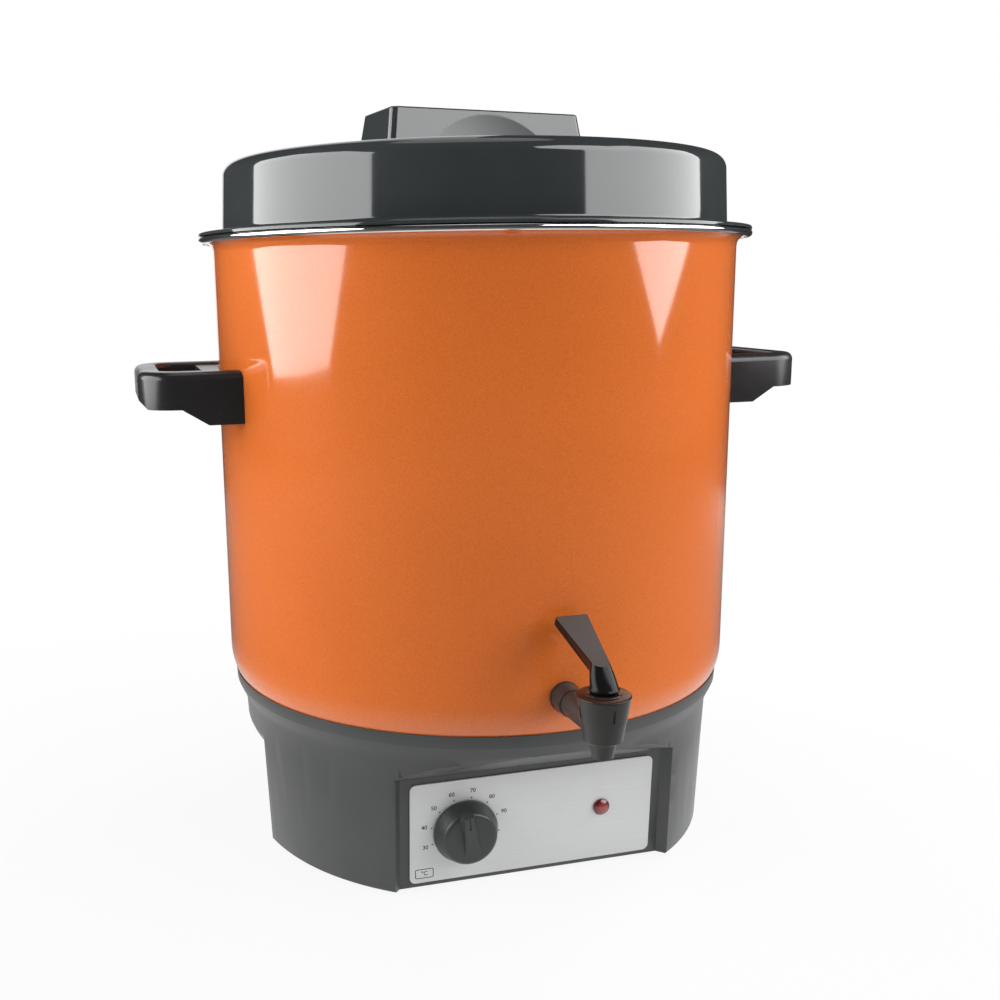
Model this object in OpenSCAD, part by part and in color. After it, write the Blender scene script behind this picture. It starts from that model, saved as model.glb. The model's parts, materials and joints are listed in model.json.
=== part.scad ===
/* [Pot] */
// Outside diameter of the pot
pot_d = 350; // [330:1:370]
// Height of the pot from its underside to its rolled rim
pot_h = 314.2; // [280:0.1:340]
// Height of the pot's underside above the floor
pot_lift = 90; // [88:0.5:96]
// Thickness of the pot's wall
pot_wall = 1.5; // [1:0.1:2]
// Outside radius of the pot's bottom corner
pot_corner = 40; // [36:1:44]
// Radius of the outward roll under the rim
roll_r = 7; // [5:0.5:9]
// Width of the flat flange beyond the roll
flange_w = 1.2; // [0.8:0.1:2]
// Diameter of the studs that hold the handles
stud_d = 6; // [5:0.5:7]
// Diameter of the stud under the pot
clamp_stud_d = 8; // [6:0.5:10]

/* [Rim ring] */
// Thickness of the ring's metal
ring_t = 1.2; // [0.8:0.1:1.6]
// Width of the ring's upper leg
ring_top_w = 8.6; // [6:0.1:10]
// Width of the ring's lower leg
ring_low_w = 3.4; // [2.5:0.1:4]

/* [Lid] */
// Thickness of the lid's wall
lid_t = 2.5; // [2:0.1:3.5]
// How far the lid's wall stands inside the pot's wall at its foot
lid_in = 6.5; // [6:0.5:16]
// Height of the lid's wall above its flange
lid_h = 44.6; // [35:0.1:55]
// How far the lid's wall leans in over its height
lid_draft = 1.7; // [0.5:0.1:4]
// Radius of the lid's top edge
lid_edge = 9; // [6:0.5:12]
// Thickness of the lid's flange
lid_flange_t = 2.2; // [1.6:0.1:3]
// Depth of the skirt that centres the lid in the pot
skirt_h = 11.7; // [8:0.1:16]
// Turn of the lid on the pot
lid_turn = 8; // [0:1:360]
// Length of the grip at its top
grip_l = 135.5; // [110:0.5:150]
// Width of the grip at its top
grip_w = 51.5; // [44:0.5:58]
// Height of the grip above the lid
grip_h = 31.5; // [24:0.5:36]
// Widening of each side of the grip from top to foot
grip_draft = 5; // [2:0.5:8]
// Radius of the grip's upright corners
grip_corner = 5; // [3:0.5:8]
// Radius of the round scoops for the fingers
scoop_r = 200; // [160:5:240]
// Depth of each scoop at its middle, which lies below the grip's foot
scoop_depth = 7.7; // [6:0.1:9]

/* [Handles] */
// Reach of each handle from the pot's wall
handle_reach = 54; // [48:1:64]
// Width of each handle
handle_w = 111; // [100:1:130]
// Thickness of the handle's bar
bar_t = 14.5; // [12:0.5:17]
// Height of the handle's bar
bar_h = 23; // [20:0.5:28]
// Height of the handle's root at the pot
root_h = 33; // [30:0.5:40]
// Radius of the handle's outside corners
handle_corner = 25; // [20:0.5:30]
// Height of the handle's top above the pot's underside
handle_z = 235; // [150:1:280]
// Spacing of the two studs in each handle
stud_gap = 48; // [40:1:56]
// Width across the flats of the handle nuts
nut_af = 10; // [9:0.5:11]
// Height of the handle nuts
nut_h = 5; // [4:0.5:6]
// Thickness of the handle washers
washer_t = 1.2; // [0.8:0.1:2]

/* [Base] */
// Gap between the housing's lower edge and the floor
foot_gap = 2; // [1:0.5:4]
// How far the housing's lower edge stands inside the pot's wall
base_in = 13.2; // [11:0.2:16]
// How far the foot of the collar stands inside the pot's wall
collar_in = 9.2; // [7:0.1:10.5]
// Height of the collar's lower edge above the pot's underside
collar_z = 3; // [1:0.5:6]
// How far the collar's widest edge stands inside the pot's wall
collar_edge_in = 3.3; // [2:0.1:4.4]
// Height of the collar's widest edge above the pot's underside
collar_edge_z = 16; // [12:0.5:18]
// Height of the lip against the pot above the pot's underside
lip_z = 23.5; // [20:0.5:26]
// Height of the weld between the pot's bottom and its wall, over the pot's bottom
weld_z = 18; // [16:0.5:19]
// How far the recessed rear wall stands outside the pot's flat bottom
rear_out = 3.5; // [3:0.5:7]
// Thickness of the recessed rear wall
rear_wall = 4.5; // [3.5:0.1:6]
// Span of the recessed rear wall in degrees
rear_span = 206; // [190:1:210]
// Radius of the rounded shoulder above the rear wall
shoulder_r = 26; // [22:0.5:28]
// Thickness of the deck under the pot
deck_t = 2.5; // [2:0.1:3]
// Width of the deck's ledge under the pot's flat bottom
deck_ledge = 11; // [9:0.5:14]
// Thickness of the seal under the pot
seal_t = 1; // [0.6:0.1:2]
// Thickness of the steel base plate
plate_t = 1.2; // [0.8:0.1:2]
// Diameter of the rubber feet
foot_d = 18; // [14:0.5:24]
// Distance of the feet's middle from the wall of the housing's room
foot_in = 22; // [18:0.5:30]
// Diameter of the base screws
screw_d = 3.5; // [3:0.1:4]

/* [Control panel] */
// Depth of the panel's recess at its foot
recess_depth = 33.8; // [31:0.2:36]
// Lean of the panel in degrees
panel_lean = 3.2; // [0:0.1:5]
// Width of the panel's recess
recess_w = 176.5; // [170:0.5:182]
// How far the panel's middle stands left of the pot's middle
panel_off = 2.25; // [0:0.25:4]
// Distance of the recess's top below the pot's underside
recess_drop = 11; // [9:0.5:13]
// Gap between the aluminium plate and each side of the recess
face_side_gap = 6.25; // [4:0.25:10]
// Gap above and below the aluminium plate
face_gap = 4.4; // [3:0.1:6]
// How far the aluminium plate sits below the middle of the recess
face_drop = 1.4; // [0:0.1:2.5]
// Thickness of the aluminium plate
face_t = 1; // [0.6:0.1:1.6]
// Corner radius of the aluminium plate
face_corner = 4; // [2:0.5:8]
// Distance of the knob from the recess's side
knob_in = 42.5; // [38:0.5:46]
// Height of the knob above the housing's lower edge
knob_up = 36; // [30:0.5:42]
// Diameter of the knob at its foot
knob_d = 42; // [38:0.5:46]
// Depth of the knob without its bar
knob_h = 12; // [10:0.5:16]
// Width of the bar on the knob at its foot
knob_bar_w = 10.5; // [8:0.5:14]
// Height of the bar's raised end above the knob's face
knob_bar_h = 5.5; // [4:0.5:8]
// Turn of the knob to the left of upright
knob_rest = 10; // [0:1:20]
// Diameter of the thermostat's shaft
shaft_d = 6; // [5:0.5:7]
// Distance of the lamp from the recess's other side
lamp_in = 41.5; // [26:0.5:50]
// Height of the lamp above the housing's lower edge
lamp_up = 39.5; // [30:0.5:50]
// Diameter of the lamp's lens
lamp_d = 11; // [10:0.5:14]

/* [Heater] */
// Gap between the heat spreader and the opening in the deck
spreader_gap = 6; // [4:0.5:12]
// Thickness of the heat spreader
spreader_t = 3; // [2:0.5:4]
// Radius of the heating element's ring
element_r = 80; // [74:1:86]
// Diameter of the heating element's tube
element_d = 8; // [6.5:0.1:8.5]
// Width of the clamp bar
clamp_w = 30; // [24:1:36]
// Thickness of the clamp bar
clamp_t = 4; // [3:0.5:5]
// How far the heat shield stands inside the heat spreader
shield_in = 10; // [6:0.5:14]

/* [Tap] */
// Distance of the tap's spindle in front of the pot's wall
tap_reach = 55; // [51:0.5:65]
// Height of the tap's pipe above the pot's underside
tap_up = 47.2; // [46.5:0.1:52]
// Outside radius of the tap's cup at its top
cup_r = 14.75; // [14:0.05:17]
// Outside radius of the tap's cup at its foot
cup_foot_r = 10.9; // [10.5:0.1:12]
// Inside radius of the tap's cup
cup_bore_r = 8.5; // [8.2:0.1:9]
// Outside radius of the spout at its end
spout_r = 5.9; // [5.5:0.1:6.6]
// Radius of the spout's bore
spout_bore_r = 4; // [3:0.1:4.5]
// Radius of the threaded shank
shank_r = 6.5; // [6:0.1:7.2]
// Diameter of the spindle
stem_d = 5; // [4:0.1:5.4]
// Diameter of the lever's pin
pin_d = 3; // [2.5:0.1:3.2]
// Width of the lever's foot
foot_w = 17; // [15:0.5:18]
// Width of the lever's paddle at its tip
paddle_w = 19.5; // [16:0.5:24]
// Number of turns in the spindle's spring
spring_turns = 4; // [3:1:4]
// Diameter of the spring's wire
spring_wire = 0.8; // [0.6:0.05:1]

/* [Clearances] */
// Gap of a turning or sliding fit on its radius
fit = 0.05; // [0.02:0.01:0.1]
// Gap between pieces that lie against each other
rest = 0.2; // [0.1:0.05:0.3]

/* [Hidden] */
$fn = 64;

// Pot and ring
pot_r = pot_d / 2;
bend_r = pot_r + roll_r;
rim_z = pot_lift + pot_h;
bend_z = rim_z - roll_r;
ring_out = bend_r + flange_w + rest + ring_t;
ring_low = rim_z - rest / 2 - ring_t;
ring_top = rim_z + pot_wall + rest + ring_t;

// Lid
lid_r = pot_r - lid_in;
lid_z = ring_top + rest;
lid_shelf = lid_z + lid_flange_t;
lid_top = lid_shelf + lid_h;
grip_top = lid_top + grip_h;
skirt_r = pot_r - pot_wall - 1.5;
grip_lean = atan(grip_draft / (grip_h - 2 + lid_t / 2));
scoop_low = 25;
scoop_mid = scoop_r - scoop_depth;
scoop_y = grip_w / 2 + grip_draft + scoop_low * tan(grip_lean) + scoop_mid * cos(grip_lean);
scoop_z = lid_top - scoop_low + scoop_mid * sin(grip_lean);

// Handles: the bar runs round two corners and two arms to a root against the pot
handle_x = pot_r + handle_reach;
handle_top = pot_lift + handle_z;
gap_x = handle_x - bar_t - 1.5;
root_x = pot_r + 13;
stud_z = handle_top - root_h / 2;
pot_gap = 0.3;
seat_x = root_x - 8.4;
stud_end = seat_x + washer_t + nut_h + 0.7;
stud_root = sqrt(pow(pot_r - pot_wall / 2, 2) - pow(stud_gap / 2, 2));

// Base: the rear wall and the deck follow the pot's flat bottom, the outside its wall
bottom_r = pot_r - pot_corner;
base_r = pot_r - base_in;
collar_r = pot_r - collar_in;
collar_out = pot_r - collar_edge_in;
rear_r = bottom_r + rear_out;
room_r = rear_r - rear_wall;
deck_r = bottom_r - deck_ledge;
deck_top = pot_lift - seal_t;
deck_low = deck_top - deck_t;
plate_z = foot_gap + 2;
plate_top = plate_z + plate_t;
plate_r = room_r - 0.5;
wall_t = 3;
post_r = room_r - 6;
head_h = 2.2;
shoulder_z = deck_low - 1.5;
fin = recess_w / 2 + 5.5;
collar_low = pot_lift + collar_z;
collar_seat = collar_low + 6;
collar_edge = pot_lift + collar_edge_z;
collar_seat_r = collar_r + (collar_out - 0.4 - collar_r) * 6 / (collar_edge - 0.9 - collar_low);
function wall_r(z) = base_r + (collar_r - base_r) * (z - foot_gap) / (collar_low - foot_gap);
function rear_wall_r(z) = rear_r + 1.5 * (z - foot_gap) / (shoulder_z - shoulder_r - foot_gap);
recess_h = pot_lift - foot_gap - recess_drop;
recess_z = foot_gap + recess_h * cos(panel_lean);
foot_ring = room_r - foot_in;
foot_spots = [for (a = [30, 150, 210, 330]) foot_ring * [cos(a), sin(a)]];
foot_plug_r = 3;
vent_in = 25;
vent_l = 32;
vent_w = 4;
block_l = 44;
block_w = 22;
block_h = 18;
block_pitch = 14;
block_at = (room_r - 63.3) * [cos(45), sin(45)];

// Panel pieces, on the panel's own axes: across, up and out
panel_y = base_r - recess_depth;
plate_front = panel_y - 5;
face_w = recess_w - 2 * face_side_gap;
knob_x = recess_w / 2 - knob_in + panel_off;
lamp_x = recess_w / 2 - lamp_in - panel_off;
face_h = recess_h - 2 * face_gap;
bush_r = 4.5;
thermo_w = 36;
thermo_t = 22;
thermo_screw_gap = 28;
knob_gap = 0.6;
lamp_body_r = 5;

// Heater
spreader_r = deck_r - spreader_gap;
shield_r = spreader_r - shield_in;
spreader_low = pot_lift - spreader_t;
element_z = spreader_low - rest - element_d / 2;
clamp_top = element_z - element_d / 2 - rest * 2;
clamp_low = clamp_top - clamp_t;
shield_low = clamp_low - 1.2;
clamp_nut_h = 6.5;
clamp_nut_low = shield_low - clamp_nut_h;
leg_x = 20.7;
leg_y = sqrt(element_r * element_r - leg_x * leg_x);
bulb_r = 3;
bulb_y = 45;
cutout_at = [35, 45];
gland_z = 20;
gland_r = 6;

// Tap: levels from the spout's end up to the lever
tap_z = pot_lift + tap_up;
tap_y = pot_r + tap_reach;
cup_low = tap_z - 7.2;
spout_low = cup_low - 8;
cup_foot = cup_low + 2.4;
cup_step = cup_low + 13.2;
cup_floor = cup_low + 2;
cup_top = cup_low + 26.8;
slot_low = cup_top - 11;
function wall_at(z) = cup_foot_r + (cup_r - cup_foot_r) * (z - cup_foot) / (cup_top - cup_foot);
bonnet_z = cup_top + rest / 2;
bonnet_top = bonnet_z + 2;
plug_low = bonnet_z - 6.9;
cup_seat = cup_floor + rest;
seat_top = cup_seat + 8.8;
stem_low = cup_seat + 4.8;
lever_low = bonnet_top + rest * 2;
pin_z = lever_low + 3.4;
stem_top = pin_z + 2.6;
pin_l = foot_w - 5.8;
tilt = 40;
paddle_lean = 19.2;
face_y = 5.7;
face_z = lever_low + 15.3;
paddle_l = 42.7;
tip_y = face_y + paddle_l * cos(paddle_lean);
tip_z = face_z + paddle_l * sin(paddle_lean);
neck = [[lever_low + 2.6, 0, foot_w / 2 - 0.6, foot_w / 2 - 0.6], [lever_low + 4, 0.6, 7.7, 7.2],
    [lever_low + 6, 1.7, 7.4, 6.3], [lever_low + 8.7, 3, 6.9, 5.6]];
pipe_r = shank_r - 2.5;
tap_face = pot_r + rest / 2;
gasket_t = 2;
flange_r = shank_r + 2.7;
flange_l = 10.9;
shank_end = pot_r - 18;
spring_r = 4.2;
spring_low = seat_top + 0.3;
spring_top = plug_low - 0.3;

// Points along a circular arc in the plane of a profile
function arc(x, y, r, a, b, n = 8) =
    [for (i = [0:n]) let (t = a + (b - a) * i / n) [x + r * cos(t), y + r * sin(t)]];
// Outline of a rectangle with rounded corners about its middle
function plate_outline(w, h, r) = concat(
    arc(w / 2 - r, h / 2 - r, r, 0, 90), arc(r - w / 2, h / 2 - r, r, 90, 180),
    arc(r - w / 2, r - h / 2, r, 180, 270), arc(w / 2 - r, r - h / 2, r, 270, 360));

// The panel's axes: x across, y up along the panel, z out of it
module on_panel() translate([0, -panel_y, foot_gap]) rotate([90 + panel_lean, 0, 0]) children();
module at_knob() on_panel() translate([-knob_x, knob_up, 0]) children();
module at_lamp() on_panel() translate([lamp_x, lamp_up, 0]) children();
// A rod along Y between two distances in front of the pot's axis
module rod_y(near, far, r1, r2) translate([0, -near, 0]) rotate([90, 0, 0])
    cylinder(h = far - near, r1 = r1, r2 = r2);
module hexagon(af, h) cylinder(h = h, d = af / cos(30), $fn = 6);
module at_studs() for (side = [-1, 1], y = [-1, 1])
    translate([0, y * stud_gap / 2, stud_z]) rotate([0, side * 90, 0]) children();
module at_posts() for (a = [45:90:315]) rotate([0, 0, a]) translate([post_r, 0, 0]) children();
module at_feet() for (p = foot_spots) translate([p[0], p[1], 0]) children();
// The pot's outside below its rim, grown by a gap
module pot_outside(g) rotate_extrude($fn = 128) polygon(concat([[0, pot_lift - g]],
    arc(bottom_r, pot_lift + pot_corner, pot_corner + g, -90, 0, 16), [[pot_r + g, rim_z], [0, rim_z]]));

// Drawn bottom and rolled wall of the pot, butt welded behind the collar
module pot_shell() rotate_extrude($fn = 128) polygon(concat([[0, pot_lift]],
    arc(bottom_r, pot_lift + pot_corner, pot_corner, -90, 0, 16),
    arc(bend_r, bend_z, roll_r, 180, 90, 8),
    [[bend_r + flange_w, rim_z], [bend_r + flange_w, rim_z + pot_wall]],
    arc(bend_r, bend_z, roll_r + pot_wall, 90, 180, 8),
    arc(bottom_r, pot_lift + pot_corner, pot_corner - pot_wall, 0, -90, 16),
    [[0, pot_lift + pot_wall]]));
module below_seam() translate([0, 0, pot_lift - 1]) cylinder(h = weld_z + 1, r = pot_r + 1, $fn = 128);

module pot() color([0.90, 0.45, 0.18]) difference() {
    pot_shell();
    below_seam();
    translate([0, 0, tap_z]) rod_y(pot_r - 10, pot_r + 10, shank_r + 0.5, shank_r + 0.5);
}
module pot_bottom() color([0.90, 0.45, 0.18]) intersection() {
    pot_shell();
    below_seam();
}

// Studs welded to the pot, for the handles and for the clamp under its bottom
module handle_studs() color("silver") difference() {
    at_studs() translate([0, 0, stud_root]) cylinder(h = stud_end - stud_root, d = stud_d);
    pot_outside(0.1);
}
module clamp_stud() color("silver") translate([0, 0, clamp_nut_low - 3.7])
    cylinder(h = pot_lift - clamp_nut_low + 3.7, d = clamp_stud_d);

module rim_ring() color("silver") rotate_extrude($fn = 128) polygon(concat([[ring_out - ring_low_w, ring_low]],
    arc(ring_out - ring_t, ring_low + ring_t, ring_t, -90, 0, 5),
    arc(ring_out - ring_t, ring_top - ring_t, ring_t, 0, 90, 5),
    [[ring_out - ring_top_w, ring_top], [ring_out - ring_top_w, ring_top - ring_t],
    [ring_out - ring_t, ring_top - ring_t], [ring_out - ring_t, ring_low + ring_t],
    [ring_out - ring_low_w, ring_low + ring_t]]));

// The grip's block, drawn in by a wall
module grip_block(inset, low) {
    x = grip_l / 2 - grip_corner - inset * 0.2;
    y = grip_w / 2 - grip_corner - inset * 0.2;
    r = grip_corner - inset * 0.8;
    hull() for (sx = [-1, 1], sy = [-1, 1]) {
        translate([sx * (x + grip_draft), sy * (y + grip_draft), low]) cylinder(h = 0.1, r = r, $fn = 32);
        translate([sx * x, sy * y, grip_top - inset - 2]) cylinder(h = 0.1, r = r, $fn = 32);
        translate([sx * x, sy * y, grip_top - inset - 0.1]) cylinder(h = 0.1, r = r - 0.9, $fn = 32);
    }
}
module scoops(r) for (s = [-1, 1]) translate([0, s * scoop_y, scoop_z]) sphere(r = r, $fn = 96);

module lid() color([0.2, 0.2, 0.21]) rotate([0, 0, lid_turn]) {
    edge_r = lid_r - lid_draft - lid_edge;
    edge_z = lid_top - lid_edge;
    difference() {
        union() {
            rotate_extrude($fn = 128) polygon(concat([[0, lid_top]], arc(edge_r, edge_z, lid_edge, 90, 0, 10),
                arc(lid_r + 3, lid_shelf + 3, 3, 180, 270, 6), arc(ring_out - 1.4, lid_shelf - 1, 1, 90, 0, 5),
                [[ring_out - 0.4, lid_z], [skirt_r, lid_z], [skirt_r, lid_z - skirt_h + 0.8],
                [skirt_r - 0.6, lid_z - skirt_h], [skirt_r - lid_t + 0.4, lid_z - skirt_h],
                [skirt_r - lid_t, lid_z - skirt_h + 0.8], [skirt_r - lid_t, lid_z], [lid_r - lid_t, lid_z],
                [lid_r - lid_t, lid_shelf + 3]], arc(edge_r, edge_z, lid_edge - lid_t, 0, 90, 10),
                [[0, lid_top - lid_t]]));
            difference() {
                grip_block(0, lid_top - lid_t / 2);
                scoops(scoop_r);
            }
        }
        difference() {
            grip_block(lid_t, lid_top - lid_t - 1);
            scoops(scoop_r + lid_t);
        }
    }
}

// Section of the handle's bar, out from its inner face
bar_section = concat([[0, handle_top - root_h], [bar_t, handle_top - root_h]],
    arc(bar_t - 5, handle_top - 5, 5, 0, 90, 6), arc(3, handle_top - 3, 3, 90, 180, 5));
module handle() color([0.13, 0.13, 0.13]) {
    low = handle_top - bar_h;
    root = handle_top - root_h;
    cx = handle_x - handle_corner;
    cy = handle_w / 2 - handle_corner;
    inner = handle_corner - bar_t;
    difference() {
        union() {
            translate([cx + inner, cy, 0]) rotate([90, 0, 0]) linear_extrude(2 * cy) polygon(bar_section);
            for (s = [0, 1]) mirror([0, s, 0]) {
                translate([cx, cy, 0]) rotate_extrude(angle = 90, $fn = 96)
                    translate([inner, 0]) polygon(bar_section);
                translate([pot_r - 30, cy + inner, 0]) rotate([90, 0, 90])
                    linear_extrude(cx + 30 - pot_r) polygon(bar_section);
            }
            translate([pot_r - 28, -cy - inner - 2, root + 0.6])
                cube([root_x + 28 - pot_r, 2 * (cy + inner + 2), root_h - 2.6]);
        }
        translate([0, handle_w, 0]) rotate([90, 0, 0]) linear_extrude(2 * handle_w)
            polygon([[root_x, root], [cx, low], [handle_x - 5, low], [handle_x + 1, low + 6],
                [handle_x + 1, root - 1], [root_x, root - 1]]);
        translate([0, 0, root - 20]) rotate([0, 0, 90])
            cylinder(h = root_h + 40, r = pot_r + pot_gap, $fn = 128);
        for (y = [-1, 1]) translate([0, y * stud_gap / 2, stud_z]) rotate([0, 90, 0]) {
            translate([0, 0, pot_r - 20]) cylinder(h = root_x + 20 - pot_r, d = stud_d + 0.6);
            translate([0, 0, seat_x]) cylinder(h = root_x - seat_x + 1, r = nut_af * 0.72);
        }
    }
}
module left_handle() mirror([1, 0, 0]) handle();
module right_handle() handle();

module handle_washers() color("silver") at_studs() translate([0, 0, seat_x]) difference() {
    cylinder(h = washer_t, r = nut_af * 0.62);
    translate([0, 0, -1]) cylinder(h = washer_t + 2, d = stud_d + 2 * fit);
}
module handle_nuts() color("silver") at_studs() translate([0, 0, seat_x + washer_t]) difference() {
    hexagon(nut_af, nut_h);
    translate([0, 0, -1]) cylinder(h = nut_h + 2, d = stud_d + 2 * fit);
}

// Removes what lies in front of the loft between the recess's top chord and the round collar
module front_loft() rotate([0, 0, -asin(panel_off / base_r)]) difference() {
    top = collar_seat;
    translate([-fin, -base_r - 20, recess_z]) cube([2 * fin, 20 + base_r - panel_y, top - recess_z]);
    hull() {
        translate([0, 0, recess_z - 0.1]) linear_extrude(0.1) intersection() {
            circle(r = wall_r(recess_z) + 0.4, $fn = 120);
            translate([-base_r * 2, -sqrt(pow(wall_r(recess_z), 2) - pow(fin, 2))]) square(base_r * 4);
        }
        translate([0, 0, top - 0.1]) cylinder(h = 0.2, r = collar_r + 3.6, $fn = 120);
    }
}
module panel_recess() intersection() {
    on_panel() translate([-panel_off, recess_h + 10, 0]) rotate([90, 0, 0]) linear_extrude(recess_h + 20)
        polygon([[-recess_w / 2, 0], [recess_w / 2, 0], [recess_w / 2 + 60, 60], [-recess_w / 2 - 60, 60]]);
    translate([-base_r * 2, -base_r * 2, -base_r]) cube([base_r * 4, base_r * 2, base_r + recess_z]);
}
module rear_recess() rotate([0, 0, 90 - rear_span / 2]) rotate_extrude(angle = rear_span, $fn = 128)
    polygon(concat([[rear_r, foot_gap - 1], [rear_r + 1.5, shoulder_z - shoulder_r]],
        arc(rear_r + 1.5, shoulder_z, shoulder_r, -90, 0, 10),
        [[base_r + 40, shoulder_z], [base_r + 40, foot_gap - 1]]));
module side_pocket() rotate([0, 0, -50]) rotate_extrude(angle = 34, $fn = 128)
    polygon([[room_r + wall_t, foot_gap - 1], [base_r - wall_t, foot_gap - 1],
        [wall_r(recess_z) - wall_t, recess_z], [room_r + wall_t, recess_z]]);

module base_housing() color([0.31, 0.32, 0.32]) difference() {
    union() {
        difference() {
            rotate_extrude($fn = 128) polygon([[0, foot_gap], [base_r - 0.8, foot_gap],
                [base_r, foot_gap + 0.8], [collar_r, collar_low],
                [collar_seat_r, collar_seat], [0, collar_seat]]);
            front_loft();
            panel_recess();
            rear_recess();
            for (s = [0, 1]) mirror([s, 0, 0]) side_pocket();
            difference() {
                translate([0, 0, foot_gap - 1]) cylinder(h = deck_low - foot_gap + 1, r = room_r);
                on_panel() translate([-base_r, -foot_gap - 10, -wall_t])
                    cube([2 * base_r, 2 * pot_lift, base_r]);
            }
            at_knob() translate([-thermo_w / 2 - 1, -thermo_w / 2 - 1, -wall_t - thermo_t - 8])
                cube([thermo_w + 2, thermo_w + 2, thermo_t + 8]);
        }
        intersection() {
            at_posts() translate([0, 0, plate_top]) cylinder(h = deck_low - plate_top + 1, r = 5);
            cylinder(h = deck_low + 1, r = room_r + 1);
        }
    }
    pot_outside(0.25);
    translate([0, 0, deck_top]) cylinder(h = pot_lift, r = bottom_r - 0.5);
    translate([0, 0, deck_low - 1]) cylinder(h = deck_t + 2, r = deck_r);
    at_posts() translate([0, 0, plate_top - 1]) cylinder(h = 17, d = screw_d + 2 * fit);
    at_knob() translate([0, 0, -wall_t - 1]) {
        cylinder(h = wall_t + 2, r = bush_r + fit);
        for (s = [-1, 1]) translate([s * thermo_screw_gap / 2, 0, 0]) cylinder(h = wall_t + 2, r = 2.3);
    }
    at_lamp() translate([0, 0, -wall_t - 10]) cylinder(h = wall_t + 11, r = lamp_body_r + fit);
    translate([0, 0, gland_z]) rod_y(-rear_r - 10, 10 - room_r, gland_r + fit, gland_r + fit);
}

// Collar that closes the housing round the foot of the pot
module base_collar() color([0.31, 0.32, 0.32]) difference() {
    rotate_extrude($fn = 128) polygon([[bottom_r, collar_seat], [collar_seat_r, collar_seat],
        [collar_out - 0.4, collar_edge - 0.9], [collar_out, collar_edge],
        [collar_out + 0.5, pot_lift + lip_z], [bottom_r, pot_lift + lip_z]]);
    pot_outside(0.25);
}

module base_seal() color([0.75, 0.73, 0.70]) translate([0, 0, deck_top]) difference() {
    cylinder(h = seal_t, r = bottom_r - 1, $fn = 128);
    translate([0, 0, -1]) cylinder(h = seal_t + 2, r = deck_r + 2, $fn = 128);
}

module base_plate() color([0.7, 0.7, 0.7]) difference() {
    translate([0, 0, plate_z]) cylinder(h = plate_t, r = plate_r, $fn = 128);
    translate([-base_r, -plate_front - base_r, 0]) cube([2 * base_r, base_r, pot_lift]);
    at_posts() cylinder(h = pot_lift, d = screw_d + 2 * fit);
    at_feet() cylinder(h = pot_lift, r = foot_plug_r + fit);
    for (a = [15:30:345]) rotate([0, 0, a]) translate([vent_in, -vent_w / 2, 0])
        cube([vent_l, vent_w, pot_lift]);
}

module base_screws() color("silver") at_posts() {
    translate([0, 0, plate_z - head_h]) cylinder(h = head_h, r1 = screw_d * 0.75, r2 = screw_d * 0.95);
    translate([0, 0, plate_z - 0.1]) cylinder(h = 14, d = screw_d);
}

module feet() color([0.08, 0.08, 0.08]) at_feet() {
    cylinder(h = plate_z, d1 = foot_d - 1.6, d2 = foot_d);
    cylinder(h = plate_top + rest, r = foot_plug_r);
    translate([0, 0, plate_top + rest]) cylinder(h = 3, r1 = foot_plug_r + 1, r2 = foot_plug_r - 0.6);
}

module control_panel() color([0.79, 0.80, 0.80]) difference() {
    on_panel() translate([-panel_off, recess_h / 2 - face_drop, 0]) linear_extrude(face_t)
        polygon(plate_outline(face_w, face_h, face_corner));
    at_knob() translate([0, 0, -1]) {
        cylinder(h = face_t + 2, r = bush_r + fit);
        for (s = [-1, 1]) translate([s * thermo_screw_gap / 2, 0, 0]) cylinder(h = face_t + 2, r = 2.3);
    }
    at_lamp() translate([0, 0, -1]) cylinder(h = face_t + 2, r = lamp_body_r + fit);
}

module knob() color([0.2, 0.21, 0.22]) at_knob() rotate([0, 0, knob_rest]) difference() {
    r = knob_d / 2;
    low = face_t + knob_gap;
    bar_foot = 11.5;
    bar_end = r - 3;
    slope = atan((knob_bar_h + 0.4) / (bar_end + bar_foot));
    union() {
        rotate_extrude($fn = 96) polygon(concat([[0, low], [r, low], [r, low + 2]],
            arc(r - 6, low + knob_h - 3, 3, 10, 90, 6), [[0, low + knob_h - 0.4]]));
        hull() {
            translate([-knob_bar_w / 2, -bar_foot, low + 3])
                cube([knob_bar_w, bar_foot + bar_end - 3, knob_h - 3.4]);
            translate([2.3 - knob_bar_w / 2, bar_end - 1, low + 3])
                cube([knob_bar_w - 4.6, 1, knob_h - 3 + knob_bar_h]);
        }
    }
    difference() {
        translate([0, 0, low - 1]) cylinder(h = knob_h - 2, r1 = r - 2.5, r2 = r - 6);
        cylinder(h = 40, r = shaft_d / 2 + 3);
    }
    cylinder(h = low + knob_h, d = shaft_d + 2 * fit);
    translate([0, 0, -1]) cylinder(h = low + 3.2, r = bush_r + 4);
    translate([0, bar_end, low + knob_h + knob_bar_h]) rotate([slope, 0, 0])
        translate([-0.6, -9, -0.5]) cube([1.2, 12, 2]);
}

module thermostat_shaft() color("silver") at_knob() translate([0, 0, -wall_t - 8])
    cylinder(h = wall_t + 8 + face_t + knob_gap + knob_h - 1, d = shaft_d);

module thermostat_body() color([0.85, 0.83, 0.76]) at_knob() difference() {
    union() {
        translate([-thermo_w / 2, -thermo_w / 2, -wall_t - thermo_t]) cube([thermo_w, thermo_w, thermo_t]);
        translate([0, 0, -wall_t - 1]) cylinder(h = wall_t + 1 + face_t + 1.2, r = bush_r);
        for (s = [-1, 1], y = [-8, 8]) translate([s * 10 - 3, y - 0.4, -wall_t - thermo_t - 7])
            cube([6.3, 0.8, 8]);
    }
    translate([0, 0, -wall_t - 8.2]) cylinder(h = 40, d = shaft_d + 2 * fit);
    for (s = [-1, 1]) translate([s * thermo_screw_gap / 2, 0, -wall_t - 7]) cylinder(h = 20, r = 2 + fit);
}

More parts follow.
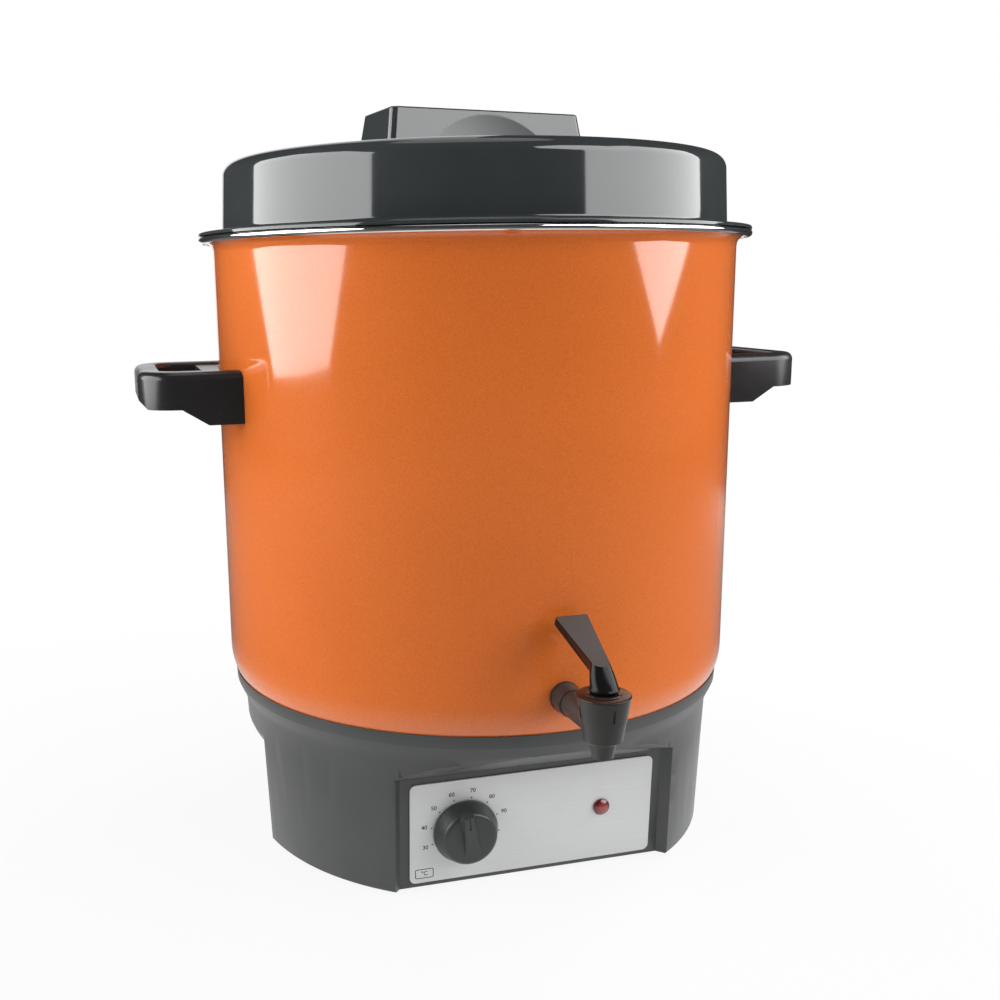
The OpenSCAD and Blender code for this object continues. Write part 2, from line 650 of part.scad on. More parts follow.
module thermostat_screws() color("silver") at_knob() for (s = [-1, 1])
    translate([s * thermo_screw_gap / 2, 0, 0]) {
    translate([0, 0, -wall_t - 6]) cylinder(h = wall_t + 6 + face_t + 0.1, r = 2);
    translate([0, 0, face_t]) cylinder(h = 2, r1 = 3.6, r2 = 2.8);
}

// A run of thin tube through a list of points
module tube_run(pts, r) {
    for (i = [0:len(pts) - 2]) let (v = pts[i + 1] - pts[i]) translate(pts[i])
        rotate([0, acos(v[2] / norm(v)), atan2(v[1], v[0])]) cylinder(h = norm(v), r = r, $fn = 24);
    for (i = [1:len(pts) - 2]) translate(pts[i]) sphere(r = r, $fn = 24);
}
module thermostat_sensor() color([0.72, 0.45, 0.3]) {
    z = spreader_low - rest - bulb_r;
    back = panel_y + (knob_up + thermo_w / 2) * sin(panel_lean) - wall_t - 8;
    translate([-35, -bulb_y, z]) rotate([0, 90, 0]) cylinder(h = 70, r = bulb_r);
    low = clamp_nut_low - 3;
    tube_run([[-34, -bulb_y, z], [-knob_x, -bulb_y, z], [-knob_x, -bulb_y, low], [-knob_x, -back, low],
        [-knob_x, -back, foot_gap + (knob_up + thermo_w / 2) * cos(panel_lean) + 1]], 1);
}

module pilot_lamp_lens() color([0.75, 0.12, 0.12]) at_lamp() rotate_extrude()
    polygon(concat([[0, face_t], [lamp_d / 2, face_t], [lamp_d / 2, face_t + 1.2]],
        arc(0, face_t + 1.2 - 5, sqrt(25 + pow(lamp_d / 2, 2)) * 0.97, 40, 90, 8)));
module pilot_lamp_body() color([0.9, 0.9, 0.86]) at_lamp() {
    translate([0, 0, -28]) cylinder(h = 28 + face_t, r = lamp_body_r);
    for (s = [-1, 1]) translate([s * 2.5 - 0.4, -1.5, -34]) cube([0.8, 3, 7]);
}

module heat_spreader() color([0.8, 0.8, 0.82]) translate([0, 0, spreader_low]) difference() {
    cylinder(h = spreader_t, r = spreader_r, $fn = 128);
    translate([0, 0, -1]) cylinder(h = spreader_t + 2, d = clamp_stud_d + 1);
}

module heating_element() color([0.45, 0.43, 0.4]) {
    gap = asin(leg_x / element_r) - 4;
    rotate([0, 0, 90 + gap]) translate([0, 0, element_z]) rotate_extrude(angle = 360 - 2 * gap, $fn = 128)
        translate([element_r, 0]) circle(d = element_d, $fn = 32);
    for (s = [-1, 1]) translate([s * leg_x, leg_y, 0]) {
        translate([0, 0, clamp_nut_low - 8]) cylinder(h = element_z - clamp_nut_low + 8, d = element_d - 1.5);
        translate([-3.15, -0.4, clamp_nut_low - 16]) cube([6.3, 0.8, 9]);
    }
}

module clamp_bar() color([0.6, 0.6, 0.62]) difference() {
    end = post_r + 2;
    translate([0, clamp_w / 2, 0]) rotate([90, 0, 0]) linear_extrude(clamp_w)
        polygon([[-end, deck_low], [8 - end, deck_low], [8 - end, clamp_top], [end - 8, clamp_top],
            [end - 8, deck_low], [end, deck_low], [end, clamp_low], [-end, clamp_low]]);
    cylinder(h = pot_lift, d = clamp_stud_d + 0.6);
}

module heat_shield() color([0.75, 0.75, 0.77]) translate([0, 0, shield_low]) difference() {
    cylinder(h = clamp_low - shield_low, r = shield_r, $fn = 128);
    translate([0, 0, -1]) {
        cylinder(h = 5, d = clamp_stud_d + 0.6);
        for (s = [-1, 1]) translate([s * leg_x, leg_y, 0]) cylinder(h = 5, d = element_d + 4);
        translate([-knob_x, -bulb_y, 0]) cylinder(h = 5, d = 8);
        for (s = [-1, 1]) translate([cutout_at[0] + s * 5, cutout_at[1], 0]) cylinder(h = 5, d = 5);
    }
}

module clamp_nut() color("silver") translate([0, 0, clamp_nut_low]) difference() {
    hexagon(clamp_stud_d * 1.625, clamp_nut_h);
    translate([0, 0, -1]) cylinder(h = clamp_nut_h + 2, d = clamp_stud_d + 2 * fit);
}

module thermal_cutout() color([0.2, 0.2, 0.2]) translate([cutout_at[0], cutout_at[1], clamp_low]) {
    cylinder(h = spreader_low - rest - clamp_low, d = 16);
    for (s = [-1, 1]) translate([s * 5 - 0.4, -1.5, -9]) cube([0.8, 3, 10]);
}

module terminal_block() color([0.88, 0.87, 0.82])
    translate([block_at[0], block_at[1], plate_top]) rotate([0, 0, -45]) difference() {
    translate([-block_l / 2, -block_w / 2, 0]) cube([block_l, block_w, block_h]);
    for (x = [-block_pitch, 0, block_pitch]) translate([x, 0, 8]) {
        cylinder(h = block_h, d = 5);
        translate([0, block_w, 0]) rotate([90, 0, 0]) cylinder(h = 2 * block_w, d = 4);
    }
}

module cord_gland() color([0.1, 0.1, 0.1]) difference() {
    translate([0, 0, gland_z]) {
        rod_y(-rear_r - 4, -rear_r + 3, gland_r + 3.4, gland_r + 3.4);
        rod_y(-rear_r - 4, -room_r + 8, gland_r, gland_r);
        rod_y(-room_r + 1.2, -room_r + 4.2, gland_r + 0.8, gland_r);
    }
    difference() {
        translate([0, 0, gland_z - 20]) cylinder(h = 40, r1 = rear_wall_r(gland_z - 20) + 0.1,
            r2 = rear_wall_r(gland_z + 20) + 0.1, $fn = 128);
        translate([0, 0, gland_z]) rod_y(-rear_r - 10, 10 - room_r, gland_r, gland_r);
        translate([-20, 0, 0]) cube([40, room_r - 0.2, 60]);
    }
    translate([0, 0, gland_z]) rod_y(-rear_r - 20, 20 - room_r, 4, 4);
}

module tap_body() color([0.22, 0.2, 0.19]) difference() {
    union() {
        translate([0, -tap_y, 0]) rotate_extrude() polygon([[0, spout_low], [spout_r, spout_low],
            [spout_r + 1.6, cup_low], [cup_foot_r, cup_foot], [wall_at(cup_step), cup_step],
            [wall_at(cup_step) + 0.25, cup_step], [cup_r, cup_top], [0, cup_top]]);
        translate([0, 0, tap_z]) {
            rod_y(shank_end, tap_y, shank_r, shank_r);
            rod_y(tap_face + gasket_t, tap_face + gasket_t + flange_l, flange_r, flange_r - 0.6);
            rod_y(tap_face + gasket_t, tap_y - cup_foot_r + 4, shank_r + 1.6, shank_r + 0.7);
        }
    }
    translate([0, -tap_y, 0]) {
        translate([0, 0, spout_low - 1]) cylinder(h = 20, r = spout_bore_r);
        translate([0, 0, cup_floor]) cylinder(h = 60, r = cup_bore_r);
        for (a = [180, 270, 360]) rotate([0, 0, a]) translate([wall_at(slot_low) - 0.5, -0.7, slot_low])
            rotate([0, 9, 0]) cube([6, 1.4, 7]);
    }
    translate([0, 0, tap_z]) rod_y(shank_end - 5, tap_y, pipe_r, pipe_r);
}

module tap_washer(near, r) color([0.25, 0.25, 0.25]) translate([0, 0, tap_z]) difference() {
    rod_y(near, near + gasket_t, r, r);
    rod_y(near - 1, near + gasket_t + 1, shank_r + fit, shank_r + fit);
}
module tap_gasket_outer() tap_washer(tap_face, flange_r + 0.2);
module tap_gasket_inner() tap_washer(pot_r - pot_wall - gasket_t - 0.5, shank_r + 4);
module tap_nut() color([0.2, 0.2, 0.2]) translate([0, 0, tap_z]) difference() {
    translate([0, -pot_r + pot_wall + gasket_t + 0.5, 0]) rotate([-90, 0, 0]) hexagon(shank_r * 3, 6);
    rod_y(shank_end - 5, tap_y, shank_r + fit, shank_r + fit);
}

module tap_bonnet() color([0.2, 0.14, 0.11]) translate([0, -tap_y, 0]) difference() {
    rotate_extrude() polygon([[0, plug_low], [cup_bore_r - 0.6, plug_low], [cup_bore_r - fit, plug_low + 0.8],
        [cup_bore_r - fit, bonnet_z], [cup_r + 0.35, bonnet_z], [cup_r + 0.35, bonnet_z + 0.8],
        [cup_r - 0.5, bonnet_z + 1.3], [foot_w / 2 + 1.4, bonnet_z + 1.5], [foot_w / 2 + 1, bonnet_top],
        [0, bonnet_top]]);
    translate([0, 0, plug_low - 1]) cylinder(h = 30, r = stem_d / 2 + 2 * fit);
}

module tap_stem() color([0.5, 0.5, 0.5]) translate([0, -tap_y, 0]) difference() {
    translate([0, 0, stem_low]) cylinder(h = stem_top - stem_low, d = stem_d);
    translate([-10, 0, pin_z]) rotate([0, 90, 0]) cylinder(h = 20, d = pin_d + 0.06);
}
module lever_pin() color("silver") translate([-pin_l / 2, -tap_y, pin_z]) rotate([0, 90, 0])
    cylinder(h = pin_l, d = pin_d);

module seat_cup() color([0.75, 0.72, 0.68]) translate([0, -tap_y, 0]) difference() {
    rotate_extrude() polygon([[0, cup_seat], [cup_bore_r - 2.4, cup_seat], [cup_bore_r - 2, cup_seat + 0.6],
        [cup_bore_r - 2, cup_seat + 2.8], [spring_r, seat_top], [0, seat_top]]);
    translate([0, 0, stem_low - fit]) cylinder(h = 20, d = stem_d + 2 * fit);
}

// One coil of round wire as a swept ring of six points
function coil_ring(a, z) = [for (k = [0:5]) let (t = 60 * k, r = spring_r + spring_wire / 2 * cos(t))
    [r * cos(a), r * sin(a), z + spring_wire / 2 * sin(t)]];
module stem_spring() color([0.7, 0.7, 0.7]) translate([0, -tap_y, 0]) {
    n = 24 * spring_turns;
    low = spring_low + spring_wire / 2;
    rise = spring_top - spring_wire / 2 - low;
    pts = [for (i = [0:n]) each coil_ring(360 * spring_turns * i / n, low + rise * i / n)];
    sides = [for (i = [0:n - 1], k = [0:5]) let (a = 6 * i + k, b = 6 * i + (k + 1) % 6)
        each [[a, a + 6, b], [b, a + 6, b + 6]]];
    caps = [for (k = [1:4]) each [[0, k, k + 1], [6 * n, 6 * n + k + 1, 6 * n + k]]];
    polyhedron(pts, concat(sides, caps));
    echo(spring_self_gap = rise / spring_turns - spring_wire);
}

// Round section of the lever's neck: height, middle along the lever, half width and half length
module neck_ring(s) translate([0, s[1], s[0]]) scale([s[2], s[3], 1]) cylinder(h = 0.1, r = 1);
// Round pad of the paddle, let in from its face
module pad(x, y, z, r, t) translate([x, y, z]) rotate([paddle_lean, 0, 0]) translate([0, 0, -t])
    cylinder(h = t, r = r, $fn = 48);
module tap_lever() color([0.11, 0.11, 0.11]) translate([0, -tap_y, 0]) difference() {
    union() {
        rotate_extrude() polygon([[0, lever_low],
            for (a = [-90:10:0]) [foot_w / 2 - 2 + 2 * cos(a), lever_low + 2 + 2 * sin(a)],
            [foot_w / 2 - 0.5, lever_low + 2.7], [0, lever_low + 2.7]]);
        for (i = [0:len(neck) - 2]) hull() {
            neck_ring(neck[i]);
            neck_ring(neck[i + 1]);
        }
        hull() {
            neck_ring(neck[len(neck) - 1]);
            pad(0, face_y, face_z, 5, 6.5);
        }
        hull() {
            pad(0, face_y, face_z, 5, 6.5);
            for (s = [-1, 1]) pad(s * (paddle_w / 2 - 1), tip_y, tip_z, 1, 5);
        }
    }
    hull() for (a = [0, -tilt]) translate([0, 0, pin_z]) rotate([a, 0, 0])
        translate([-stem_d / 2 - 0.25, -stem_d / 2 - 0.2, -7])
            cube([stem_d + 0.5, stem_d + 0.4, 7 + stem_top - pin_z + 0.4]);
    translate([-pin_l / 2 - 0.2, 0, pin_z]) rotate([0, 90, 0]) cylinder(h = 40, d = pin_d + 2 * fit);
}

pot();
rim_ring();
lid();
left_handle();
right_handle();
handle_nuts();
handle_washers();
base_housing();
base_collar();
handle_studs();
clamp_stud();
pot_bottom();
base_seal();
base_plate();
base_screws();
feet();
control_panel();
knob();
thermostat_shaft();
thermostat_body();
thermostat_screws();
thermostat_sensor();
pilot_lamp_lens();
pilot_lamp_body();
heat_spreader();
heating_element();
clamp_bar();
heat_shield();
clamp_nut();
thermal_cutout();
terminal_block();
cord_gland();
tap_body();
tap_gasket_outer();
tap_gasket_inner();
tap_nut();
tap_bonnet();
tap_stem();
lever_pin();
seat_cup();
stem_spring();
tap_lever();
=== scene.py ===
# Looks of an electric kettle for mulled wine, in metres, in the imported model's frame.
# Its front with tap and dial faces -Y, and the floor is at z = 0.
import json
import math

import bmesh
import bpy
from mathutils import Matrix, Vector

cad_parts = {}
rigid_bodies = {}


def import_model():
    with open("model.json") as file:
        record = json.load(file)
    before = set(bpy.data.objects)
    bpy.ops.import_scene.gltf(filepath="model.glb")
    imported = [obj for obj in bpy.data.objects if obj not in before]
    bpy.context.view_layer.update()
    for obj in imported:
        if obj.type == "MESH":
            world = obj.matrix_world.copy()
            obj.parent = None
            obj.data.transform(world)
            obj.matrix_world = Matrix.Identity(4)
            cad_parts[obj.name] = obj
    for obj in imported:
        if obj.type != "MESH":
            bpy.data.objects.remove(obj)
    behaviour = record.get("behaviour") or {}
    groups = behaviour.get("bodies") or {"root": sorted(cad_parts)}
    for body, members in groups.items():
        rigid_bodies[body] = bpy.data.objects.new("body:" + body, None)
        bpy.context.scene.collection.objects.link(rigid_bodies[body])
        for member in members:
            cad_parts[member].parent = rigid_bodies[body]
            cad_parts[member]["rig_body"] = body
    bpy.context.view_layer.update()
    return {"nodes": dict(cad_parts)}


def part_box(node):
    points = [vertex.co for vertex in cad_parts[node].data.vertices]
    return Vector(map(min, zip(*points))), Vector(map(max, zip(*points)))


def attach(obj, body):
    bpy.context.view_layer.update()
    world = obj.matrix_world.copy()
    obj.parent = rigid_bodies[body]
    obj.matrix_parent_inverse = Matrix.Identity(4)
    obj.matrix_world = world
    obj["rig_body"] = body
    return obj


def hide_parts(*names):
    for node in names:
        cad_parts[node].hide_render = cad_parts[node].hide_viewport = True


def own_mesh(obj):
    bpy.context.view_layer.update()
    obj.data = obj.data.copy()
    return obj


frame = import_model()
scene = bpy.context.scene
scene.view_settings.view_transform = "Standard"


# Camera: a little left of the front, just below the height of the lid, looking slightly down.
# The shift keeps the kettle in the middle of a square frame.
camera_data = bpy.data.cameras.new("camera")
camera_data.lens = 41.66
camera_data.sensor_width = 36
camera_data.shift_x = 0.0791
camera_data.shift_y = 0.0264
camera = bpy.data.objects.new("camera", camera_data)
camera_place = Matrix.Translation((-0.24925, -0.7763, 0.3769))
camera_turn = Matrix.Rotation(math.radians(-15.166), 4, "Z")
camera_tilt = Matrix.Rotation(math.radians(78.078), 4, "X")
camera_roll = Matrix.Rotation(math.radians(-0.763), 4, "Z")
camera.matrix_world = camera_place @ camera_turn @ camera_tilt @ camera_roll
scene.collection.objects.link(camera)
scene.camera = camera


# Pot: deep-drawn steel with a rolled rim, orange enamel outside and speckled dark enamel inside.
# Its bottom pressing is welded on behind the collar. Four welded studs carry the handles and one
# underneath carries the heater; the hole in front takes the tap.
MM = 0.001
POT_RADIUS = 175 * MM
POT_WALL = 1.5 * MM
POT_CORNER = 40 * MM
POT_LOW = 90 * MM
ROLL_RADIUS = 7 * MM
RIM_LIP = 1.2 * MM
TAP_HEIGHT = 137.2 * MM
TAP_HOLE_RADIUS = 7 * MM
TAP_HOLE_DEPTH = 20 * MM
rim_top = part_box("pot")[1].z
roll_at = POT_RADIUS + ROLL_RADIUS
roll_height = rim_top - POT_WALL - ROLL_RADIUS
rim_edge = roll_at + RIM_LIP
corner_at = POT_RADIUS - POT_CORNER
corner_height = POT_LOW + POT_CORNER


def arc(radius_at, height_at, radius, start, end, steps):
    """Points of an arc in a profile of (distance from the axis, height)."""
    angles = [math.radians(start + (end - start) * i / steps) for i in range(steps + 1)]
    return [(radius_at + radius * math.cos(a), height_at + radius * math.sin(a)) for a in angles]


def turned(profile, steps=256, closed=True):
    """A shell turned about the Z axis from a profile of (distance from the axis, height) points."""
    bm = bmesh.new()
    line = [bm.verts.new((distance, 0, height)) for distance, height in profile]
    edges = [bm.edges.new(pair) for pair in zip(line, line[1:])]
    if closed:
        edges.append(bm.edges.new((line[-1], line[0])))
    bmesh.ops.spin(
        bm, geom=line + edges, axis=(0, 0, 1), cent=(0, 0, 0),
        angle=math.tau, steps=steps, use_merge=True,
    )
    bmesh.ops.remove_doubles(bm, verts=bm.verts, dist=0.001 * MM)
    bmesh.ops.recalc_face_normals(bm, faces=bm.faces)
    return bm


def made(bm, name, sharp=35):
    """Makes a mesh object of a bmesh, smooth but for edges that turn more than the sharp angle."""
    mesh = bpy.data.meshes.new(name)
    bm.to_mesh(mesh)
    bm.free()
    mesh.shade_smooth()
    mesh.set_sharp_from_angle(angle=math.radians(sharp))
    piece = bpy.data.objects.new(name, mesh)
    scene.collection.objects.link(piece)
    return piece


def carved(piece, tool_bm, operation="DIFFERENCE", sharp=35):
    """Cuts a tool's shape out of a piece, or joins it on, and keeps the result as the piece's mesh."""
    tool = made(tool_bm, piece.name + "_tool")
    carve = piece.modifiers.new("carve", "BOOLEAN")
    carve.operation = operation
    carve.solver = "EXACT"
    carve.object = tool
    shaped = piece.evaluated_get(bpy.context.evaluated_depsgraph_get())
    mesh = bpy.data.meshes.new_from_object(shaped)
    piece.modifiers.clear()
    piece.data = mesh
    mesh.shade_smooth()
    mesh.set_sharp_from_angle(angle=math.radians(sharp))
    bpy.data.objects.remove(tool)


pot_profile = [(0, POT_LOW)]
pot_profile += arc(corner_at, corner_height, POT_CORNER, -90, 0, 18)
pot_profile += arc(roll_at, roll_height, ROLL_RADIUS, 180, 90, 10)
pot_profile += [(rim_edge, rim_top - POT_WALL), (rim_edge, rim_top)]
pot_profile += arc(roll_at, roll_height, ROLL_RADIUS + POT_WALL, 90, 180, 10)
pot_profile += arc(corner_at, corner_height, POT_CORNER - POT_WALL, 0, -90, 18)
pot_profile += [(0, POT_LOW + POT_WALL)]
pot = made(turned(pot_profile, closed=False), "enamelled_pot")

tap_hole = bmesh.new()
hole_place = Matrix.Translation((0, -POT_RADIUS, TAP_HEIGHT)) @ Matrix.Rotation(math.radians(90), 4, "X")
bmesh.ops.create_cone(
    tap_hole, cap_ends=True, segments=48, radius1=TAP_HOLE_RADIUS, radius2=TAP_HOLE_RADIUS,
    depth=TAP_HOLE_DEPTH, matrix=hole_place,
)
carved(pot, tap_hole)

# The part of its range that a noise mostly fills.
NOISE_LOW = 0.3
NOISE_HIGH = 0.7


def new_material(name, **sockets):
    """A material with a Principled shader, whose sockets are set from their names."""
    material = bpy.data.materials.new(name)
    material.use_nodes = True
    shader = material.node_tree.nodes["Principled BSDF"]
    for socket, value in sockets.items():
        shader.inputs[socket.replace("_", " ")].default_value = value
    return material, shader


def placed(tree, kind, **values):
    """Adds a node to a tree and sets its inputs by name."""
    node = tree.nodes.new(kind)
    for socket, value in values.items():
        node.inputs[socket.replace("_", " ")].default_value = value
    return node


def object_spot(tree):
    """The place on a piece, by which its patterns are laid."""
    return tree.nodes.new("ShaderNodeTexCoord").outputs["Object"]


def noise(tree, spot, **values):
    """A noise over the places on a piece."""
    node = placed(tree, "ShaderNodeTexNoise", **values)
    tree.links.new(spot, node.inputs["Vector"])
    return node.outputs["Fac"]


def ramp(tree, factor, *stops):
    """A colour ramp over a factor, from (place, colour) stops."""
    node = tree.nodes.new("ShaderNodeValToRGB")
    bands = node.color_ramp.elements
    while len(bands) < len(stops):
        bands.new(0.5)
    for band, (place, colour) in zip(bands, stops):
        band.position = place
        band.color = (*colour, 1)
    tree.links.new(factor, node.inputs["Fac"])
    return node.outputs["Color"]


def ranged(tree, value, **limits):
    """A value carried over from one range to another."""
    node = placed(tree, "ShaderNodeMapRange", **limits)
    tree.links.new(value, node.inputs["Value"])
    return node.outputs["Result"]


def bumped(tree, shader, height, strength, depth):
    """Gives a shader a fine relief from a height."""
    bump = placed(tree, "ShaderNodeBump", Strength=strength, Distance=depth)
    tree.links.new(height, bump.inputs["Height"])
    tree.links.new(bump.outputs["Normal"], shader.inputs["Normal"])


def enamel(name, deep, body, pale, fleck_scale):
    """Fired enamel: glossy, with fine flecks in a slightly clouded colour and a faint orange peel."""
    material, shader = new_material(name, Coat_Weight=0.6, Coat_Roughness=0.04, IOR=1.52)
    tree = material.node_tree
    spot = object_spot(tree)
    flecks = noise(tree, spot, Scale=fleck_scale, Detail=2, Roughness=0.7)
    cloud = noise(tree, spot, Scale=7, Detail=3)
    peel = noise(tree, spot, Scale=160, Detail=1)
    fleck_colour = ramp(tree, flecks, (0.34, deep), (0.5, body), (0.68, pale))
    cloud_shade = ramp(tree, cloud, (NOISE_LOW, (0.93, 0.91, 0.88)), (NOISE_HIGH, (1, 1, 1)))
    mixed = tree.nodes.new("ShaderNodeMix")
    mixed.data_type = "RGBA"
    mixed.blend_type = "MULTIPLY"
    mixed.inputs["Factor"].default_value = 1
    tree.links.new(fleck_colour, mixed.inputs["A"])
    tree.links.new(cloud_shade, mixed.inputs["B"])
    tree.links.new(mixed.outputs["Result"], shader.inputs["Base Color"])
    gloss = ranged(tree, cloud, From_Min=NOISE_LOW, From_Max=NOISE_HIGH, To_Min=0.06, To_Max=0.13)
    tree.links.new(gloss, shader.inputs["Roughness"])
    bumped(tree, shader, peel, strength=0.05, depth=0.2 * MM)
    return material


def finished(piece, *materials):
    """Gives a new piece its materials."""
    piece.data.materials.clear()
    for material in materials:
        piece.data.materials.append(material)


def settled(piece, body, slot, *nodes):
    """Lets a piece ride on a body in place of CAD nodes, which it hides; the slot is not used."""
    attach(piece, body)
    if nodes:
        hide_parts(*nodes)
    return piece


outer_enamel = enamel(
    "orange_enamel_fired", (0.61, 0.135, 0.023), (0.71, 0.163, 0.028), (0.76, 0.185, 0.035),
    fleck_scale=1500,
)
inner_enamel = enamel(
    "speckled_enamel_inside", (0.02, 0.021, 0.024), (0.045, 0.047, 0.052), (0.42, 0.42, 0.43),
    fleck_scale=420,
)
finished(pot, outer_enamel, inner_enamel)
FACING_IN = -0.2
FACING_UP = 0.5
for face in pot.data.polygons:
    outward = Vector((face.center.x, face.center.y, 0)).normalized()
    inside_wall = face.normal.dot(outward) < FACING_IN and face.center.z < roll_height
    inside_floor = face.normal.z > FACING_UP and face.center.z < corner_height
    face.material_index = 1 if inside_wall or inside_floor else 0
settled(pot, "kettle", "orange_enamel", "pot", "pot_bottom")


def grain_group():
    """The group for fine moulded or rolled grain: its height, a roughness range and a broad shade."""
    group = bpy.data.node_groups.new("surface_grain", "ShaderNodeTree")
    sides = group.interface
    sides.new_socket("Vector", in_out="INPUT", socket_type="NodeSocketVector")
    for name in ("Grain Scale", "Cloud Scale", "Smooth", "Rough"):
        sides.new_socket(name, in_out="INPUT", socket_type="NodeSocketFloat")
    for name in ("Height", "Roughness", "Cloud"):
        sides.new_socket(name, in_out="OUTPUT", socket_type="NodeSocketFloat")
    inside = placed(group, "NodeGroupInput")
    outside = placed(group, "NodeGroupOutput")
    grain = placed(group, "ShaderNodeTexNoise", Detail=3, Roughness=0.6)
    cloud = placed(group, "ShaderNodeTexNoise", Detail=4, Roughness=0.55)
    spread = placed(group, "ShaderNodeMapRange", From_Min=NOISE_LOW, From_Max=NOISE_HIGH)
    links = group.links
    for pattern, scale in ((grain, "Grain Scale"), (cloud, "Cloud Scale")):
        links.new(inside.outputs["Vector"], pattern.inputs["Vector"])
        links.new(inside.outputs[scale], pattern.inputs["Scale"])
    links.new(cloud.outputs["Fac"], spread.inputs["Value"])
    links.new(inside.outputs["Smooth"], spread.inputs["To Min"])
    links.new(inside.outputs["Rough"], spread.inputs["To Max"])
    links.new(grain.outputs["Fac"], outside.inputs["Height"])
    links.new(spread.outputs["Result"], outside.inputs["Roughness"])
    links.new(cloud.outputs["Fac"], outside.inputs["Cloud"])
    return group


surface_grain = grain_group()


def grained(material, shader, dark, light, grain_scale, cloud_scale, smooth, rough, depth, strength=0.3):
    """Gives a material the surface grain: colour between dark and light, roughness range and bump."""
    tree = material.node_tree
    grain = tree.nodes.new("ShaderNodeGroup")
    grain.node_tree = surface_grain
    tree.links.new(object_spot(tree), grain.inputs["Vector"])
    grain.inputs["Grain Scale"].default_value = grain_scale
    grain.inputs["Cloud Scale"].default_value = cloud_scale
    grain.inputs["Smooth"].default_value = smooth
    grain.inputs["Rough"].default_value = rough
    colour = ramp(tree, grain.outputs["Cloud"], (NOISE_LOW, dark), (NOISE_HIGH, light))
    tree.links.new(colour, shader.inputs["Base Color"])
    tree.links.new(grain.outputs["Roughness"], shader.inputs["Roughness"])
    bumped(tree, shader, grain.outputs["Height"], strength, depth)
    return material


def metal(name, dark, light, smooth, rough, grain_scale=700, depth=0.02 * MM):
    """Bare or plated metal with a fine grain."""
    material, shader = new_material(name, Metallic=1)
    return grained(
        material, shader, dark, light, grain_scale, cloud_scale=30,
        smooth=smooth, rough=rough, depth=depth,
    )


def coated(finish, *nodes):
    """Gives a finish to CAD nodes whose shapes stay as they are."""
    for node in nodes:
        frame["nodes"][node].data.materials[0] = finish


fastener_steel = metal(
    "zinc_plated_steel", (0.52, 0.52, 0.53), (0.68, 0.68, 0.69), smooth=0.28, rough=0.42
)
coated(fastener_steel, "handle_studs", "clamp_stud")


# Handles: a moulding of black plastic on each side, its bar carried by two arms and a root at the pot.
# Nuts and washers on the pot's studs hold each root, inside two round pockets.
SOFT_EDGE_ANGLE = 30


def plastic(name, dark, light, smooth, rough, depth=0.03 * MM, strength=0.3, **sockets):
    """Moulded plastic: nearly even colour, a spread of gloss and the fine grain of the mould."""
    material, shader = new_material(name, **sockets)
    return grained(
        material, shader, dark, light, grain_scale=1400, cloud_scale=16,
        smooth=smooth, rough=rough, depth=depth, strength=strength,
    )


def softened(piece, edge):
    """Rounds the edges of a piece that turn more than the soft-edge angle."""
    soft = piece.modifiers.new("soft_edges", "BEVEL")
    soft.width = edge
    soft.segments = 3
    soft.limit_method = "ANGLE"
    soft.angle_limit = math.radians(SOFT_EDGE_ANGLE)
    soft.use_clamp_overlap = True
    soft.harden_normals = True


def merged_copy(node):
    """A copy of a CAD node's mesh with its loose triangles merged."""
    bm = bmesh.new()
    bm.from_mesh(frame["nodes"][node].data)
    bmesh.ops.remove_doubles(bm, verts=bm.verts, dist=0.01 * MM)
    return bm


def dressed(node, slot, finish, edge):
    """A copy of a CAD node with softened edges, in the node's own place and on its body."""
    bm = merged_copy(node)
    bmesh.ops.dissolve_limit(bm, angle_limit=math.radians(0.3), verts=bm.verts, edges=bm.edges)
    piece = made(bm, node + "_finished", SOFT_EDGE_ANGLE)
    if "custom_normal" in piece.data.attributes:
        piece.data.attributes.remove(piece.data.attributes["custom_normal"])
    finished(piece, finish)
    if edge:
        softened(piece, edge)
    return settled(piece, frame["nodes"][node]["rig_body"], slot, node)


handle_plastic = plastic(
    "black_handle_plastic", (0.017, 0.017, 0.018), (0.026, 0.026, 0.027), smooth=0.2, rough=0.32
)
for node in ("left_handle", "right_handle"):
    dressed(node, "handle_plastic", handle_plastic, edge=0.8 * MM)
coated(fastener_steel, "handle_nuts", "handle_washers")


# Base housing: a grey moulding that cups the pot's bottom, with a lean-back panel recess in front.
# Its collar closes it round the pot, flush and without a seam. A silicone ring lies between its deck
# and the pot.
base_plastic = plastic(
    "grey_base_plastic", (0.048, 0.050, 0.051), (0.062, 0.064, 0.065),
    smooth=0.3, rough=0.4, depth=0.05 * MM,
)
base_housing = dressed("base_housing", "base_plastic", base_plastic, edge=0)
carved(base_housing, merged_copy("base_collar"), "UNION", SOFT_EDGE_ANGLE)
finished(base_housing, base_plastic)
softened(base_housing, edge=0.6 * MM)
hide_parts("base_housing", "base_collar")
seal_rubber = plastic(
    "pale_silicone", (0.42, 0.40, 0.37), (0.55, 0.53, 0.50), smooth=0.45, rough=0.6
)
coated(seal_rubber, "base_seal")


# Bottom: a vented steel plate screwed to four posts of the housing, standing on four rubber feet.
# The feet's plugs are pressed through holes in the plate.
plate_steel = metal(
    "galvanised_plate", (0.45, 0.46, 0.47), (0.62, 0.63, 0.64),
    smooth=0.3, rough=0.5, grain_scale=120,
)
foot_rubber = plastic(
    "black_rubber", (0.012, 0.012, 0.012), (0.022, 0.022, 0.022),
    smooth=0.6, rough=0.8, depth=0.06 * MM,
)
coated(plate_steel, "base_plate")
coated(fastener_steel, "base_screws")
coated(foot_rubber, "feet")


